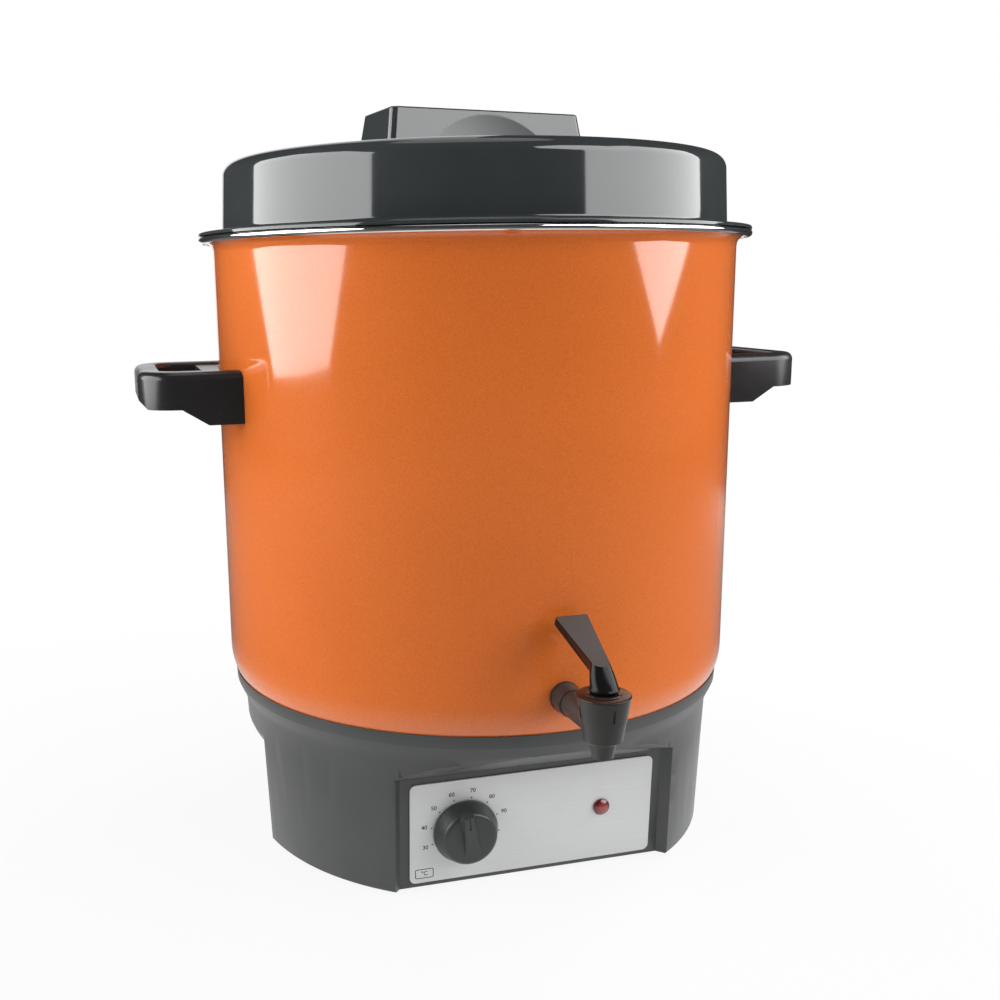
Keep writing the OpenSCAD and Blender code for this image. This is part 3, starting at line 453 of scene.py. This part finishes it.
# Heater: an aluminium plate and a sheathed element, pressed to the pot by one bar and nut on its stud.
# The shield, cut-out, terminals and the cord's bush are plain bought parts.
spreader_aluminium = metal(
    "rolled_aluminium", (0.70, 0.71, 0.72), (0.80, 0.81, 0.82), smooth=0.25, rough=0.4
)
element_steel = metal(
    "heat_tinted_steel", (0.20, 0.18, 0.15), (0.42, 0.39, 0.34),
    smooth=0.35, rough=0.5, grain_scale=300,
)
ivory_plastic = plastic(
    "ivory_plastic_moulding", (0.60, 0.57, 0.47), (0.70, 0.67, 0.57), smooth=0.35, rough=0.5
)
coated(spreader_aluminium, "heat_spreader")
coated(element_steel, "heating_element")
coated(plate_steel, "clamp_bar", "heat_shield")
coated(fastener_steel, "clamp_nut")
coated(handle_plastic, "thermal_cutout", "cord_gland")
coated(ivory_plastic, "terminal_block")


# Control panel: a satin aluminium plate with rounded corners in the recess, printed with the dial's
# marks. The thermostat and the lamp are held through it.
def brushed(name, dark, light, smooth, rough):
    """Satin aluminium with faint brush lines along the panel."""
    material, shader = new_material(name, Metallic=0.35)
    tree = material.node_tree
    drawn = placed(tree, "ShaderNodeMapping", Scale=(18, 900, 900))
    tree.links.new(object_spot(tree), drawn.inputs["Vector"])
    lines = noise(tree, drawn.outputs["Vector"], Scale=3, Detail=4, Roughness=0.7)
    colour = ramp(tree, lines, (NOISE_LOW, dark), (NOISE_HIGH, light))
    tree.links.new(colour, shader.inputs["Base Color"])
    gloss = ranged(tree, lines, From_Min=NOISE_LOW, From_Max=NOISE_HIGH, To_Min=smooth, To_Max=rough)
    tree.links.new(gloss, shader.inputs["Roughness"])
    bumped(tree, shader, lines, strength=0.1, depth=0.02 * MM)
    return material


panel_aluminium = brushed(
    "satin_panel_aluminium", (0.64, 0.65, 0.65), (0.71, 0.72, 0.72), smooth=0.38, rough=0.5
)
dressed("control_panel", "panel_aluminium", panel_aluminium, edge=0.25 * MM)

PANEL_LEAN = math.radians(3.2)
PANEL_FOOT = Vector((0, -128 * MM, 2 * MM))
PLATE_THICKNESS = 1 * MM
KNOB_MIDDLE = Vector((-48 * MM, 36 * MM, PLATE_THICKNESS))
DIAL_FIGURES = (30, 40, 50, 60, 70, 80, 90)
DIAL_START = 108
DIAL_STEP = 29.5
DIAL_MARKS = 9
TICK_RADIUS = 22.6 * MM
TICK_WIDTH = 0.65 * MM
TICK_LENGTH = 1.2 * MM
FIGURE_RADIUS = 27.4 * MM
FIGURE_HEIGHT = 2.7 * MM
FIGURE_SHARE = 0.7
SIGN_MIDDLE = Vector((-74.7 * MM, 9.4 * MM, PLATE_THICKNESS))
SIGN_WIDTH = 11.6 * MM
SIGN_HEIGHT = 6.1 * MM
SIGN_CORNER = 1 * MM
SIGN_LINE = 0.5 * MM
SIGN_FIGURE_HEIGHT = 2.8 * MM
CORNER_BAR = 0.6 * MM
CORNER_ANGLES = (15, 45, 75)
INK_THICKNESS = 0.03 * MM
INK_SPREAD = 0.05 * MM
panel_axes = Matrix.Translation(PANEL_FOOT) @ Matrix.Rotation(math.radians(90) + PANEL_LEAN, 4, "X")


def printed(bm, text, height, middle):
    """Adds a line of printed figures to a bmesh, upright about a middle on the panel's axes."""
    curve = bpy.data.curves.new("figures", "FONT")
    curve.body = text
    curve.size = height / FIGURE_SHARE
    curve.align_x = "CENTER"
    curve.align_y = "CENTER"
    curve.extrude = INK_THICKNESS
    curve.offset = INK_SPREAD
    holder = bpy.data.objects.new("figures", curve)
    scene.collection.objects.link(holder)
    flat = bpy.data.meshes.new_from_object(holder.evaluated_get(bpy.context.evaluated_depsgraph_get()))
    flat.transform(panel_axes @ Matrix.Translation(middle))
    bm.from_mesh(flat)
    bpy.data.objects.remove(holder)
    bpy.data.meshes.remove(flat)


def printed_bar(bm, width, height, middle, turn=0):
    """Adds a printed bar to a bmesh, about a middle on the panel's axes."""
    place = panel_axes @ Matrix.Translation(middle) @ Matrix.Rotation(turn, 4, "Z")
    size = Matrix.Diagonal((width, height, 2 * INK_THICKNESS, 1))
    bmesh.ops.create_cube(bm, size=1, matrix=place @ size)


def on_dial(radius, degrees):
    """A place on the panel at a radius and a clockwise angle from the knob's top."""
    around = math.radians(degrees)
    return KNOB_MIDDLE + Vector((radius * math.sin(around), radius * math.cos(around), 0))


print_bm = bmesh.new()
for mark in range(DIAL_MARKS):
    degrees = mark * DIAL_STEP - DIAL_START
    printed_bar(print_bm, TICK_WIDTH, TICK_LENGTH, on_dial(TICK_RADIUS, degrees), -math.radians(degrees))
    if mark < len(DIAL_FIGURES):
        printed(print_bm, str(DIAL_FIGURES[mark]), FIGURE_HEIGHT, on_dial(FIGURE_RADIUS, degrees))
straight_width = SIGN_WIDTH - 2 * SIGN_CORNER
straight_height = SIGN_HEIGHT - 2 * SIGN_CORNER
for side in (-1, 1):
    upright = SIGN_MIDDLE + Vector((side * SIGN_WIDTH / 2, 0, 0))
    level = SIGN_MIDDLE + Vector((0, side * SIGN_HEIGHT / 2, 0))
    printed_bar(print_bm, SIGN_LINE, straight_height, upright)
    printed_bar(print_bm, straight_width, SIGN_LINE, level)
    for end in (-1, 1):
        corner = SIGN_MIDDLE + Vector((side * straight_width / 2, end * straight_height / 2, 0))
        for around in CORNER_ANGLES:
            turn = math.radians(around)
            outward = Vector((side * math.cos(turn), end * math.sin(turn), 0))
            printed_bar(print_bm, SIGN_LINE, CORNER_BAR, corner + SIGN_CORNER * outward, side * end * turn)
printed(print_bm, "°C", SIGN_FIGURE_HEIGHT, SIGN_MIDDLE)
dial_print = settled(made(print_bm, "dial_print"), "kettle", "handle_plastic")
ink, ink_shader = new_material("printed_black_ink", IOR=1.4)
grained(
    ink, ink_shader, (0.008, 0.008, 0.009), (0.016, 0.016, 0.017), grain_scale=2600, cloud_scale=60,
    smooth=0.5, rough=0.65, depth=0.005 * MM,
)
finished(dial_print, ink)


# Dial: a dark grey knob with a raised bar on the thermostat's shaft, which turns in the plate.
# The thermostat hangs behind the plate on two screws, with its copper bulb under the heater.
knob_plastic = plastic(
    "dark_knob_plastic", (0.030, 0.033, 0.034), (0.040, 0.043, 0.044), smooth=0.32, rough=0.45
)
dressed("knob", "knob_plastic", knob_plastic, edge=0.35 * MM)
sensor_copper = metal(
    "drawn_copper", (0.50, 0.22, 0.12), (0.66, 0.33, 0.2), smooth=0.25, rough=0.42
)
coated(fastener_steel, "thermostat_shaft", "thermostat_screws")
coated(ivory_plastic, "thermostat_body")
coated(sensor_copper, "thermostat_sensor")


# Pilot lamp: a red lens with a rim, its inside cut into small prisms that scatter the light.
# It sits on a ribbed holder of ivory plastic, which is pushed through the plate and grips it.
LENS_MIDDLE = Vector((44.5 * MM, 39.5 * MM, 3 * MM))
LENS_CORE = 2.2 * MM
LENS_RIM = 4.6 * MM
PRISM_SHARE = 0.35


def worked(tree, kind, operation, *inputs):
    """The result of a math node, whose inputs are numbers or the outputs of other nodes."""
    node = tree.nodes.new(kind)
    node.operation = operation
    for socket, value in zip(node.inputs, inputs):
        if isinstance(value, bpy.types.NodeSocket):
            tree.links.new(value, socket)
        else:
            socket.default_value = value
    return node.outputs["Value"]


lamp_red, lamp_shader = new_material("red_lamp_lens", Coat_Weight=0.5, Coat_Roughness=0.05, IOR=1.5)
lens_tree = lamp_red.node_tree
lens_spot = object_spot(lens_tree)
off_middle = worked(lens_tree, "ShaderNodeVectorMath", "DISTANCE", lens_spot, panel_axes @ LENS_MIDDLE)
# Painted light: the lens's red is painted lighter towards its middle, as light coming through it, and
# lighter and darker prism by prism.
painted_middle_light = ranged(lens_tree, off_middle, From_Min=LENS_CORE, From_Max=LENS_RIM, To_Min=0.6, To_Max=0)
prism_node = placed(lens_tree, "ShaderNodeTexVoronoi", Scale=900)
lens_tree.links.new(lens_spot, prism_node.inputs["Vector"])
prisms = prism_node.outputs["Distance"]
painted_facet_light = worked(lens_tree, "ShaderNodeMath", "MULTIPLY_ADD", prisms, PRISM_SHARE, painted_middle_light)
lens_colour = ramp(lens_tree, painted_facet_light, (0.1, (0.11, 0.007, 0.007)), (0.9, (0.36, 0.062, 0.058)))
lens_tree.links.new(lens_colour, lamp_shader.inputs["Base Color"])
lens_gloss = ranged(lens_tree, prisms, To_Min=0.08, To_Max=0.22)
lens_tree.links.new(lens_gloss, lamp_shader.inputs["Roughness"])
dressed("pilot_lamp_lens", "lamp_red", lamp_red, edge=0.2 * MM)
coated(ivory_plastic, "pilot_lamp_body")


# Tap: a dark moulded body whose shank passes through the pot's wall, with gaskets and a nut.
# A bonnet closes the cup; the lever's foot rolls on it and lifts the spindle against a spring.
tap_plastic = plastic(
    "tap_body_plastic", (0.028, 0.027, 0.026), (0.038, 0.036, 0.035), smooth=0.28, rough=0.42
)
bonnet_plastic = plastic(
    "brown_bonnet_plastic", (0.016, 0.010, 0.008), (0.026, 0.017, 0.014), smooth=0.14, rough=0.26
)
lever_plastic = plastic(
    "black_lever_plastic", (0.005, 0.005, 0.005), (0.009, 0.009, 0.009),
    smooth=0.14, rough=0.26, Specular_IOR_Level=0.16,
)
# The paddle's upward face gets a rougher copy of the lever's plastic, painted a lighter grey as painted
# light from above.
paddle_face_painted_light = plastic(
    "matt_paddle_face_painted_light", (0.052, 0.049, 0.047), (0.072, 0.068, 0.065),
    smooth=0.45, rough=0.6, depth=0.06 * MM,
)
dressed("tap_body", "tap_plastic", tap_plastic, edge=0.3 * MM)
dressed("tap_bonnet", "bonnet_plastic", bonnet_plastic, edge=0.25 * MM)
lever = dressed("tap_lever", "lever_plastic", lever_plastic, edge=0.5 * MM)
lever.data.materials.append(paddle_face_painted_light)
PADDLE_FACING = Vector((0, -0.329, 0.944))
PADDLE_LIKENESS = 0.97
PADDLE_LOW = 172 * MM
# Faces turned up along the paddle take the rougher copy with the painted light.
for face in lever.data.polygons:
    if face.normal.dot(PADDLE_FACING) > PADDLE_LIKENESS and face.center.z > PADDLE_LOW:
        face.material_index = 1
coated(foot_rubber, "tap_gasket_outer", "tap_gasket_inner")
coated(tap_plastic, "tap_nut")
coated(fastener_steel, "tap_stem", "lever_pin")
coated(seal_rubber, "seat_cup")

SPRING_TURNS = 4
STEPS_PER_TURN = 36
SPRING_RADIUS = 4.2 * MM
WIRE_RADIUS = 0.4 * MM
TAP_AXIS = Vector((0, -230 * MM, 0))
spring_low, spring_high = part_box("stem_spring")
spring_rise = spring_high.z - spring_low.z - 2 * WIRE_RADIUS
spring_steps = SPRING_TURNS * STEPS_PER_TURN
wire_start = TAP_AXIS + Vector((SPRING_RADIUS, 0, spring_low.z + WIRE_RADIUS))
spring_bm = bmesh.new()
bmesh.ops.create_circle(
    spring_bm, segments=10, radius=WIRE_RADIUS, cap_ends=True,
    matrix=Matrix.Translation(wire_start) @ Matrix.Rotation(math.radians(90), 4, "X"),
)
bmesh.ops.spin(
    spring_bm, geom=spring_bm.verts[:] + spring_bm.edges[:] + spring_bm.faces[:],
    axis=(0, 0, 1), cent=TAP_AXIS, dvec=(0, 0, spring_rise / spring_steps),
    angle=math.tau * SPRING_TURNS, steps=spring_steps,
)
bmesh.ops.remove_doubles(spring_bm, verts=spring_bm.verts, dist=0.005 * MM)
bmesh.ops.recalc_face_normals(spring_bm, faces=spring_bm.faces)
spring = settled(made(spring_bm, "wound_spring"), "kettle", "fastener_steel", "stem_spring")
finished(spring, fastener_steel)
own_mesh(spring)


# Rim ring: a bright ring of rolled steel with a round outer bead, open towards the pot.
# It is clipped over the pot's flange, and the lid's flange rests on it.
RING_TOP_WIDTH = 8.6 * MM
RING_LOW_WIDTH = 3.4 * MM
RING_THICKNESS = 1.2 * MM
ring_low, ring_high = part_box("rim_ring")
ring_out = ring_high.x
ring_bead = (ring_high.z - ring_low.z) / 2
bead_height = (ring_high.z + ring_low.z) / 2
ring_top_in = ring_out - RING_TOP_WIDTH
ring_low_in = ring_out - RING_LOW_WIDTH
ring_inside = ring_out - RING_THICKNESS
ring_ceiling = ring_high.z - RING_THICKNESS
ring_floor = ring_low.z + RING_THICKNESS
ring_profile = [(ring_low_in, ring_low.z)]
ring_profile += arc(ring_out - ring_bead, bead_height, ring_bead, -90, 90, 14)
ring_profile += [(ring_top_in, ring_high.z), (ring_top_in, ring_ceiling), (ring_inside, ring_ceiling)]
ring_profile += [(ring_inside, ring_floor), (ring_low_in, ring_floor)]
rim_ring = settled(made(turned(ring_profile), "bright_rim_ring"), "kettle", "rim_chrome", "rim_ring")
ring_steel = metal(
    "bright_rolled_steel", (0.86, 0.86, 0.86), (0.94, 0.94, 0.94),
    smooth=0.05, rough=0.1, depth=0.004 * MM,
)
finished(rim_ring, ring_steel)


# Lid: one dark grey moulding with an upright wall, a flange on the ring and a skirt inside the pot.
# Its hollow grip lies across the top, with a round scoop for the fingers on either long side.
LID_FLANGE_LOW = 407.3 * MM
LID_SHELF = 409.5 * MM
LID_TOP = 454.1 * MM
LID_FOOT_RADIUS = 168.5 * MM
LID_TOP_RADIUS = 166.8 * MM
LID_EDGE = 9 * MM
LID_EDGE_MARGIN = 6 * MM
LID_WALL = 2.5 * MM
LID_FILLET = 3 * MM
FLANGE_ROUND = 1 * MM
SKIRT_RADIUS = 172 * MM
SKIRT_TAPER = 0.8 * MM
SKIRT_TAPER_OUT = 0.6 * MM
SKIRT_TAPER_IN = 0.4 * MM
lid_low, lid_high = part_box("lid")
skirt_low = lid_low.z
flange_edge = lid_high.x
edge_at = LID_TOP_RADIUS - LID_EDGE
edge_height = LID_TOP - LID_EDGE
skirt_in = SKIRT_RADIUS - LID_WALL
wall_in = LID_FOOT_RADIUS - LID_WALL
lid_profile = [(0, LID_TOP), (edge_at - LID_EDGE_MARGIN, LID_TOP)]
lid_profile += arc(edge_at, edge_height, LID_EDGE, 90, 0, 14)
lid_profile += arc(LID_FOOT_RADIUS + LID_FILLET, LID_SHELF + LID_FILLET, LID_FILLET, 180, 270, 8)
lid_profile += arc(flange_edge - FLANGE_ROUND, LID_SHELF - FLANGE_ROUND, FLANGE_ROUND, 90, 0, 6)
lid_profile += [(flange_edge, LID_FLANGE_LOW), (SKIRT_RADIUS, LID_FLANGE_LOW)]
lid_profile += [(SKIRT_RADIUS, skirt_low + SKIRT_TAPER), (SKIRT_RADIUS - SKIRT_TAPER_OUT, skirt_low)]
lid_profile += [(skirt_in + SKIRT_TAPER_IN, skirt_low), (skirt_in, skirt_low + SKIRT_TAPER)]
lid_profile += [(skirt_in, LID_FLANGE_LOW), (wall_in, LID_FLANGE_LOW), (wall_in, LID_SHELF + LID_FILLET)]
lid_profile += arc(edge_at, edge_height, LID_EDGE - LID_WALL, 0, 90, 10)
lid_profile += [(0, LID_TOP - LID_WALL)]
lid = made(turned(lid_profile, closed=False), "moulded_lid")

LID_TURN = math.radians(8)
GRIP_LENGTH = 135.5 * MM
GRIP_WIDTH = 51.5 * MM
GRIP_DRAFT = 5 * MM
GRIP_CORNER = 5 * MM
GRIP_SINK = 1 * MM
GRIP_CAP = 2 * MM
BRINK_BEVEL = 1.2 * MM
INNER_CORNER_SHARE = 0.8
SCOOP_RADIUS = 200 * MM
SCOOP_DEPTH = 7.7 * MM
SCOOP_DROP = 25 * MM
SCOOP_SPAN = 24
SCOOP_CLOSENESS = 0.05 * MM
grip_top = lid_high.z
grip_lean = math.atan(GRIP_DRAFT / (grip_top - GRIP_CAP - LID_TOP + LID_WALL / 2))
scoop_foot = GRIP_WIDTH / 2 + GRIP_DRAFT + SCOOP_DROP * math.tan(grip_lean)
scoops = []
for side in (-1, 1):
    outward = Vector((0, side * math.cos(grip_lean), math.sin(grip_lean)))
    foot = Vector((0, side * scoop_foot, LID_TOP - SCOOP_DROP))
    scoops.append((outward, foot + outward * (SCOOP_RADIUS - SCOOP_DEPTH)))


def facing(direction):
    """A turn that points the Z axis along a direction."""
    return direction.to_track_quat("Z", "Y").to_matrix().to_4x4()


def grip_block(inset, low):
    """The grip's block with its draft and round corners, drawn in by a wall, before its scoops."""
    bm = bmesh.new()
    top = grip_top - inset
    bmesh.ops.create_cube(bm, size=1)
    for vert in bm.verts:
        draft = GRIP_DRAFT if vert.co.z < 0 else 0
        vert.co.x *= GRIP_LENGTH + 2 * (draft - inset)
        vert.co.y *= GRIP_WIDTH + 2 * (draft - inset)
        vert.co.z = low if vert.co.z < 0 else top
    upright = [e for e in bm.edges if abs(e.verts[0].co.z - e.verts[1].co.z) > (top - low) / 2]
    corner = GRIP_CORNER - inset * INNER_CORNER_SHARE
    bmesh.ops.bevel(bm, geom=upright, offset=corner, affect="EDGES", segments=8, profile=0.5, material=-1)
    brink = [e for e in bm.edges if min(e.verts[0].co.z, e.verts[1].co.z) > top - 0.01 * MM]
    bmesh.ops.bevel(
        bm, geom=brink, offset=BRINK_BEVEL, affect="EDGES", segments=4, profile=0.5, material=-1
    )
    return bm


def scooped(block, name, extra):
    """Takes the two shallow finger scoops, grown by an extra wall, out of a block and turns it."""
    piece = made(block, name)
    for outward, middle in scoops:
        dish_profile = arc(0, 0, SCOOP_RADIUS + extra, -90, SCOOP_SPAN - 90, 40)
        dish_profile += [(0, -SCOOP_RADIUS / 2)]
        dish = turned(dish_profile, steps=240, closed=False)
        bmesh.ops.transform(dish, matrix=Matrix.Translation(middle) @ facing(outward), verts=dish.verts)
        carved(piece, dish)
    bm = bmesh.new()
    bm.from_mesh(piece.data)
    bmesh.ops.rotate(bm, verts=bm.verts, cent=(0, 0, 0), matrix=Matrix.Rotation(LID_TURN, 3, "Z"))
    bpy.data.objects.remove(piece)
    return bm


grip_outside = scooped(grip_block(0, LID_TOP - LID_WALL / 2), "grip_outside", 0)
carved(lid, grip_outside, "UNION", SOFT_EDGE_ANGLE)
grip_inside = scooped(grip_block(LID_WALL, LID_TOP - LID_WALL - GRIP_SINK), "grip_inside", LID_WALL)
carved(lid, grip_inside, "DIFFERENCE", SOFT_EDGE_ANGLE)
lid_plastic = plastic(
    "dark_lid_plastic", (0.030, 0.034, 0.036), (0.038, 0.043, 0.045), smooth=0.05, rough=0.09,
    strength=0.08, Coat_Weight=0.4, Coat_Roughness=0.04,
)
# The scoops take a rougher, satin copy of the lid's plastic, whose slightly lighter colour is painted
# light caught in the scoops.
scoop_satin_painted_light = plastic(
    "satin_finger_scoop_painted_light", (0.040, 0.044, 0.046), (0.050, 0.055, 0.057), smooth=0.36, rough=0.46,
    strength=0.15, Specular_IOR_Level=1,
)
finished(lid, lid_plastic, scoop_satin_painted_light)
unturn = Matrix.Rotation(-LID_TURN, 3, "Z")
for face in lid.data.polygons:
    spot = unturn @ face.center
    off_scoop = min(abs((spot - middle).length - SCOOP_RADIUS) for _, middle in scoops)
    if spot.z > LID_TOP - GRIP_SINK and off_scoop < SCOOP_CLOSENESS:
        face.material_index = 1
even = lid.modifiers.new("even_normals", "WEIGHTED_NORMAL")
even.keep_sharp = True
settled(lid, "lid", "lid_plastic", "lid")


# Studio: a pale floor and a white surround, with two tall soft boxes left and right of the front.
# A third box, high in front, shows in gloss alone, and so do the dark walls, which are open at the back.
# Three lamps add plain light and stay out of the gloss.
WHITE = (1, 1, 1, 1)
FLOOR_RADIUS = 6
FLOOR_TONE = (0.6, 0.6, 0.6, 1)
SHADE_NEAR = 0.35
SHADE_FAR = 0.95
SHADE_LIFT = 0.9


def seen_white(tree):
    """A factor that is 1 for rays from the camera, from gloss and through glass."""
    path = tree.nodes.new("ShaderNodeLightPath")
    seen = path.outputs["Is Camera Ray"]
    for kind in ("Is Glossy Ray", "Is Transmission Ray"):
        seen = worked(tree, "ShaderNodeMath", "MAXIMUM", seen, path.outputs[kind])
    return seen


def bare_material(name):
    """A material whose tree holds its output alone."""
    material = bpy.data.materials.new(name)
    material.use_nodes = True
    nodes = material.node_tree.nodes
    nodes.remove(nodes["Principled BSDF"])
    return material


def shown(tree, surface):
    """Sends a shader to a material's output."""
    tree.links.new(surface, tree.nodes["Material Output"].inputs["Surface"])


def blended(tree, factor, first, second):
    """A blend of two shaders, from the first to the second as the factor grows."""
    blend = tree.nodes.new("ShaderNodeMixShader")
    tree.links.new(factor, blend.inputs["Fac"])
    tree.links.new(first, blend.inputs[1])
    tree.links.new(second, blend.inputs[2])
    return blend.outputs["Shader"]


floor_bm = bmesh.new()
bmesh.ops.create_circle(floor_bm, cap_ends=True, segments=96, radius=FLOOR_RADIUS)
floor = made(floor_bm, "studio_floor")
floor_white = bare_material("studio_floor_white")
floor_tree = floor_white.node_tree
matt = placed(floor_tree, "ShaderNodeBsdfDiffuse", Color=FLOOR_TONE)
glow = placed(floor_tree, "ShaderNodeEmission", Color=WHITE, Strength=1)
away = worked(floor_tree, "ShaderNodeVectorMath", "LENGTH", object_spot(floor_tree))
fading = ranged(floor_tree, away, From_Min=SHADE_NEAR, From_Max=SHADE_FAR, To_Min=SHADE_LIFT, To_Max=1)
lifted = worked(floor_tree, "ShaderNodeMath", "MULTIPLY", seen_white(floor_tree), fading)
shown(floor_tree, blended(floor_tree, lifted, matt.outputs["BSDF"], glow.outputs["Emission"]))
finished(floor, floor_white)

APRON_RADIUS = 0.2
APRON_DARK_RADIUS = 0.5
APRON_HEIGHT = 1 * MM
WALL_RADIUS = 3
WALL_HEIGHT = 9
WALL_TONE = (0.07, 0.07, 0.07, 1)
BACK_RIGHT = 70
BACK_LEFT = 102
dark_profile = [(APRON_RADIUS, APRON_HEIGHT), (WALL_RADIUS, APRON_HEIGHT), (WALL_RADIUS, WALL_HEIGHT)]
dark_bm = turned(dark_profile, steps=72, closed=False)
open_back = []
for face in dark_bm.faces:
    middle = face.calc_center_median()
    around = math.degrees(math.atan2(middle.y, middle.x))
    if middle.z > 2 * APRON_HEIGHT and BACK_RIGHT < around < BACK_LEFT:
        open_back.append(face)
bmesh.ops.delete(dark_bm, geom=open_back, context="FACES")
dark_room = made(dark_bm, "dark_room")
room_dark, room_shader = new_material("dark_room_paint", Roughness=1, Base_Color=WALL_TONE)
room_tree = room_dark.node_tree
room_away = worked(room_tree, "ShaderNodeVectorMath", "LENGTH", object_spot(room_tree))
darkening = ranged(room_tree, room_away, From_Min=APRON_RADIUS, From_Max=APRON_DARK_RADIUS)
clear = room_tree.nodes.new("ShaderNodeBsdfTransparent")
shown(room_tree, blended(room_tree, darkening, clear.outputs["BSDF"], room_shader.outputs["BSDF"]))
finished(dark_room, room_dark)
for kind in ("camera", "diffuse", "transmission", "volume_scatter", "shadow"):
    setattr(dark_room, "visible_" + kind, False)

AMBIENT = 0.25
world = bpy.data.worlds.new("studio_surround")
world.use_nodes = True
world_tree = world.node_tree
surround = world_tree.nodes["Background"]
surround.inputs["Color"].default_value = WHITE
strength = ranged(world_tree, seen_white(world_tree), To_Min=AMBIENT, To_Max=1)
world_tree.links.new(strength, surround.inputs["Strength"])
scene.world = world


def soft_box(name, sides, azimuth, half_width, low, high, radiance, distance=1.5):
    """An upright soft box with a number of sides, at an azimuth about the pot's axis and facing it."""
    bm = bmesh.new()
    stood_up = Matrix.Rotation(math.radians(90), 4, "X")
    on_one_side = Matrix.Rotation(math.pi / 2 + math.pi / sides, 4, "Z")
    bmesh.ops.create_circle(bm, cap_ends=True, segments=sides, radius=1, matrix=stood_up @ on_one_side)
    reach_x = max(vert.co.x for vert in bm.verts)
    reach_z = max(vert.co.z for vert in bm.verts)
    bmesh.ops.scale(bm, vec=(half_width / reach_x, 1, (high - low) / 2 / reach_z), verts=bm.verts)
    bmesh.ops.translate(bm, vec=(0, -distance, (high + low) / 2), verts=bm.verts)
    turn = Matrix.Rotation(math.radians(azimuth + 90), 3, "Z")
    bmesh.ops.rotate(bm, cent=(0, 0, 0), matrix=turn, verts=bm.verts)
    box = made(bm, name)
    cloth = bare_material(name + "_cloth")
    shine = placed(cloth.node_tree, "ShaderNodeEmission", Color=WHITE, Strength=radiance)
    shown(cloth.node_tree, shine.outputs["Emission"])
    finished(box, cloth)
    box.visible_camera = False
    return box


soft_box("left_soft_box", sides=8, azimuth=178, half_width=0.98, low=0.15, high=1.5, radiance=5.2)
soft_box("right_soft_box", sides=6, azimuth=-28, half_width=0.98, low=0.2, high=1.75, radiance=4.8)
high_box = soft_box(
    "high_soft_box", sides=8, azimuth=-56, half_width=0.64, low=0.84, high=1.6, radiance=5.2, distance=1.4
)
high_box.visible_diffuse = False
high_box.visible_shadow = False

LAMP_AIM = Vector((0, 0, 0.25))


def lamp(name, azimuth, distance, height, size, watts):
    """A round lamp aimed at the pot's middle, which lights surfaces and stays out of their gloss."""
    light = bpy.data.lights.new(name, "AREA")
    light.shape = "DISK"
    light.size = size
    light.energy = watts
    holder = bpy.data.objects.new(name, light)
    around = math.radians(azimuth)
    place = Vector((distance * math.cos(around), distance * math.sin(around), height))
    holder.matrix_world = Matrix.Translation(place) @ facing(place - LAMP_AIM)
    holder.visible_camera = False
    holder.visible_glossy = False
    scene.collection.objects.link(holder)


lamp("top_lamp", azimuth=-72, distance=0.32, height=1.9, size=0.9, watts=6)
lamp("right_rear_lamp", azimuth=28, distance=1.3, height=0.5, size=0.7, watts=19)
lamp("left_rear_lamp", azimuth=108, distance=1.3, height=0.5, size=0.7, watts=6)
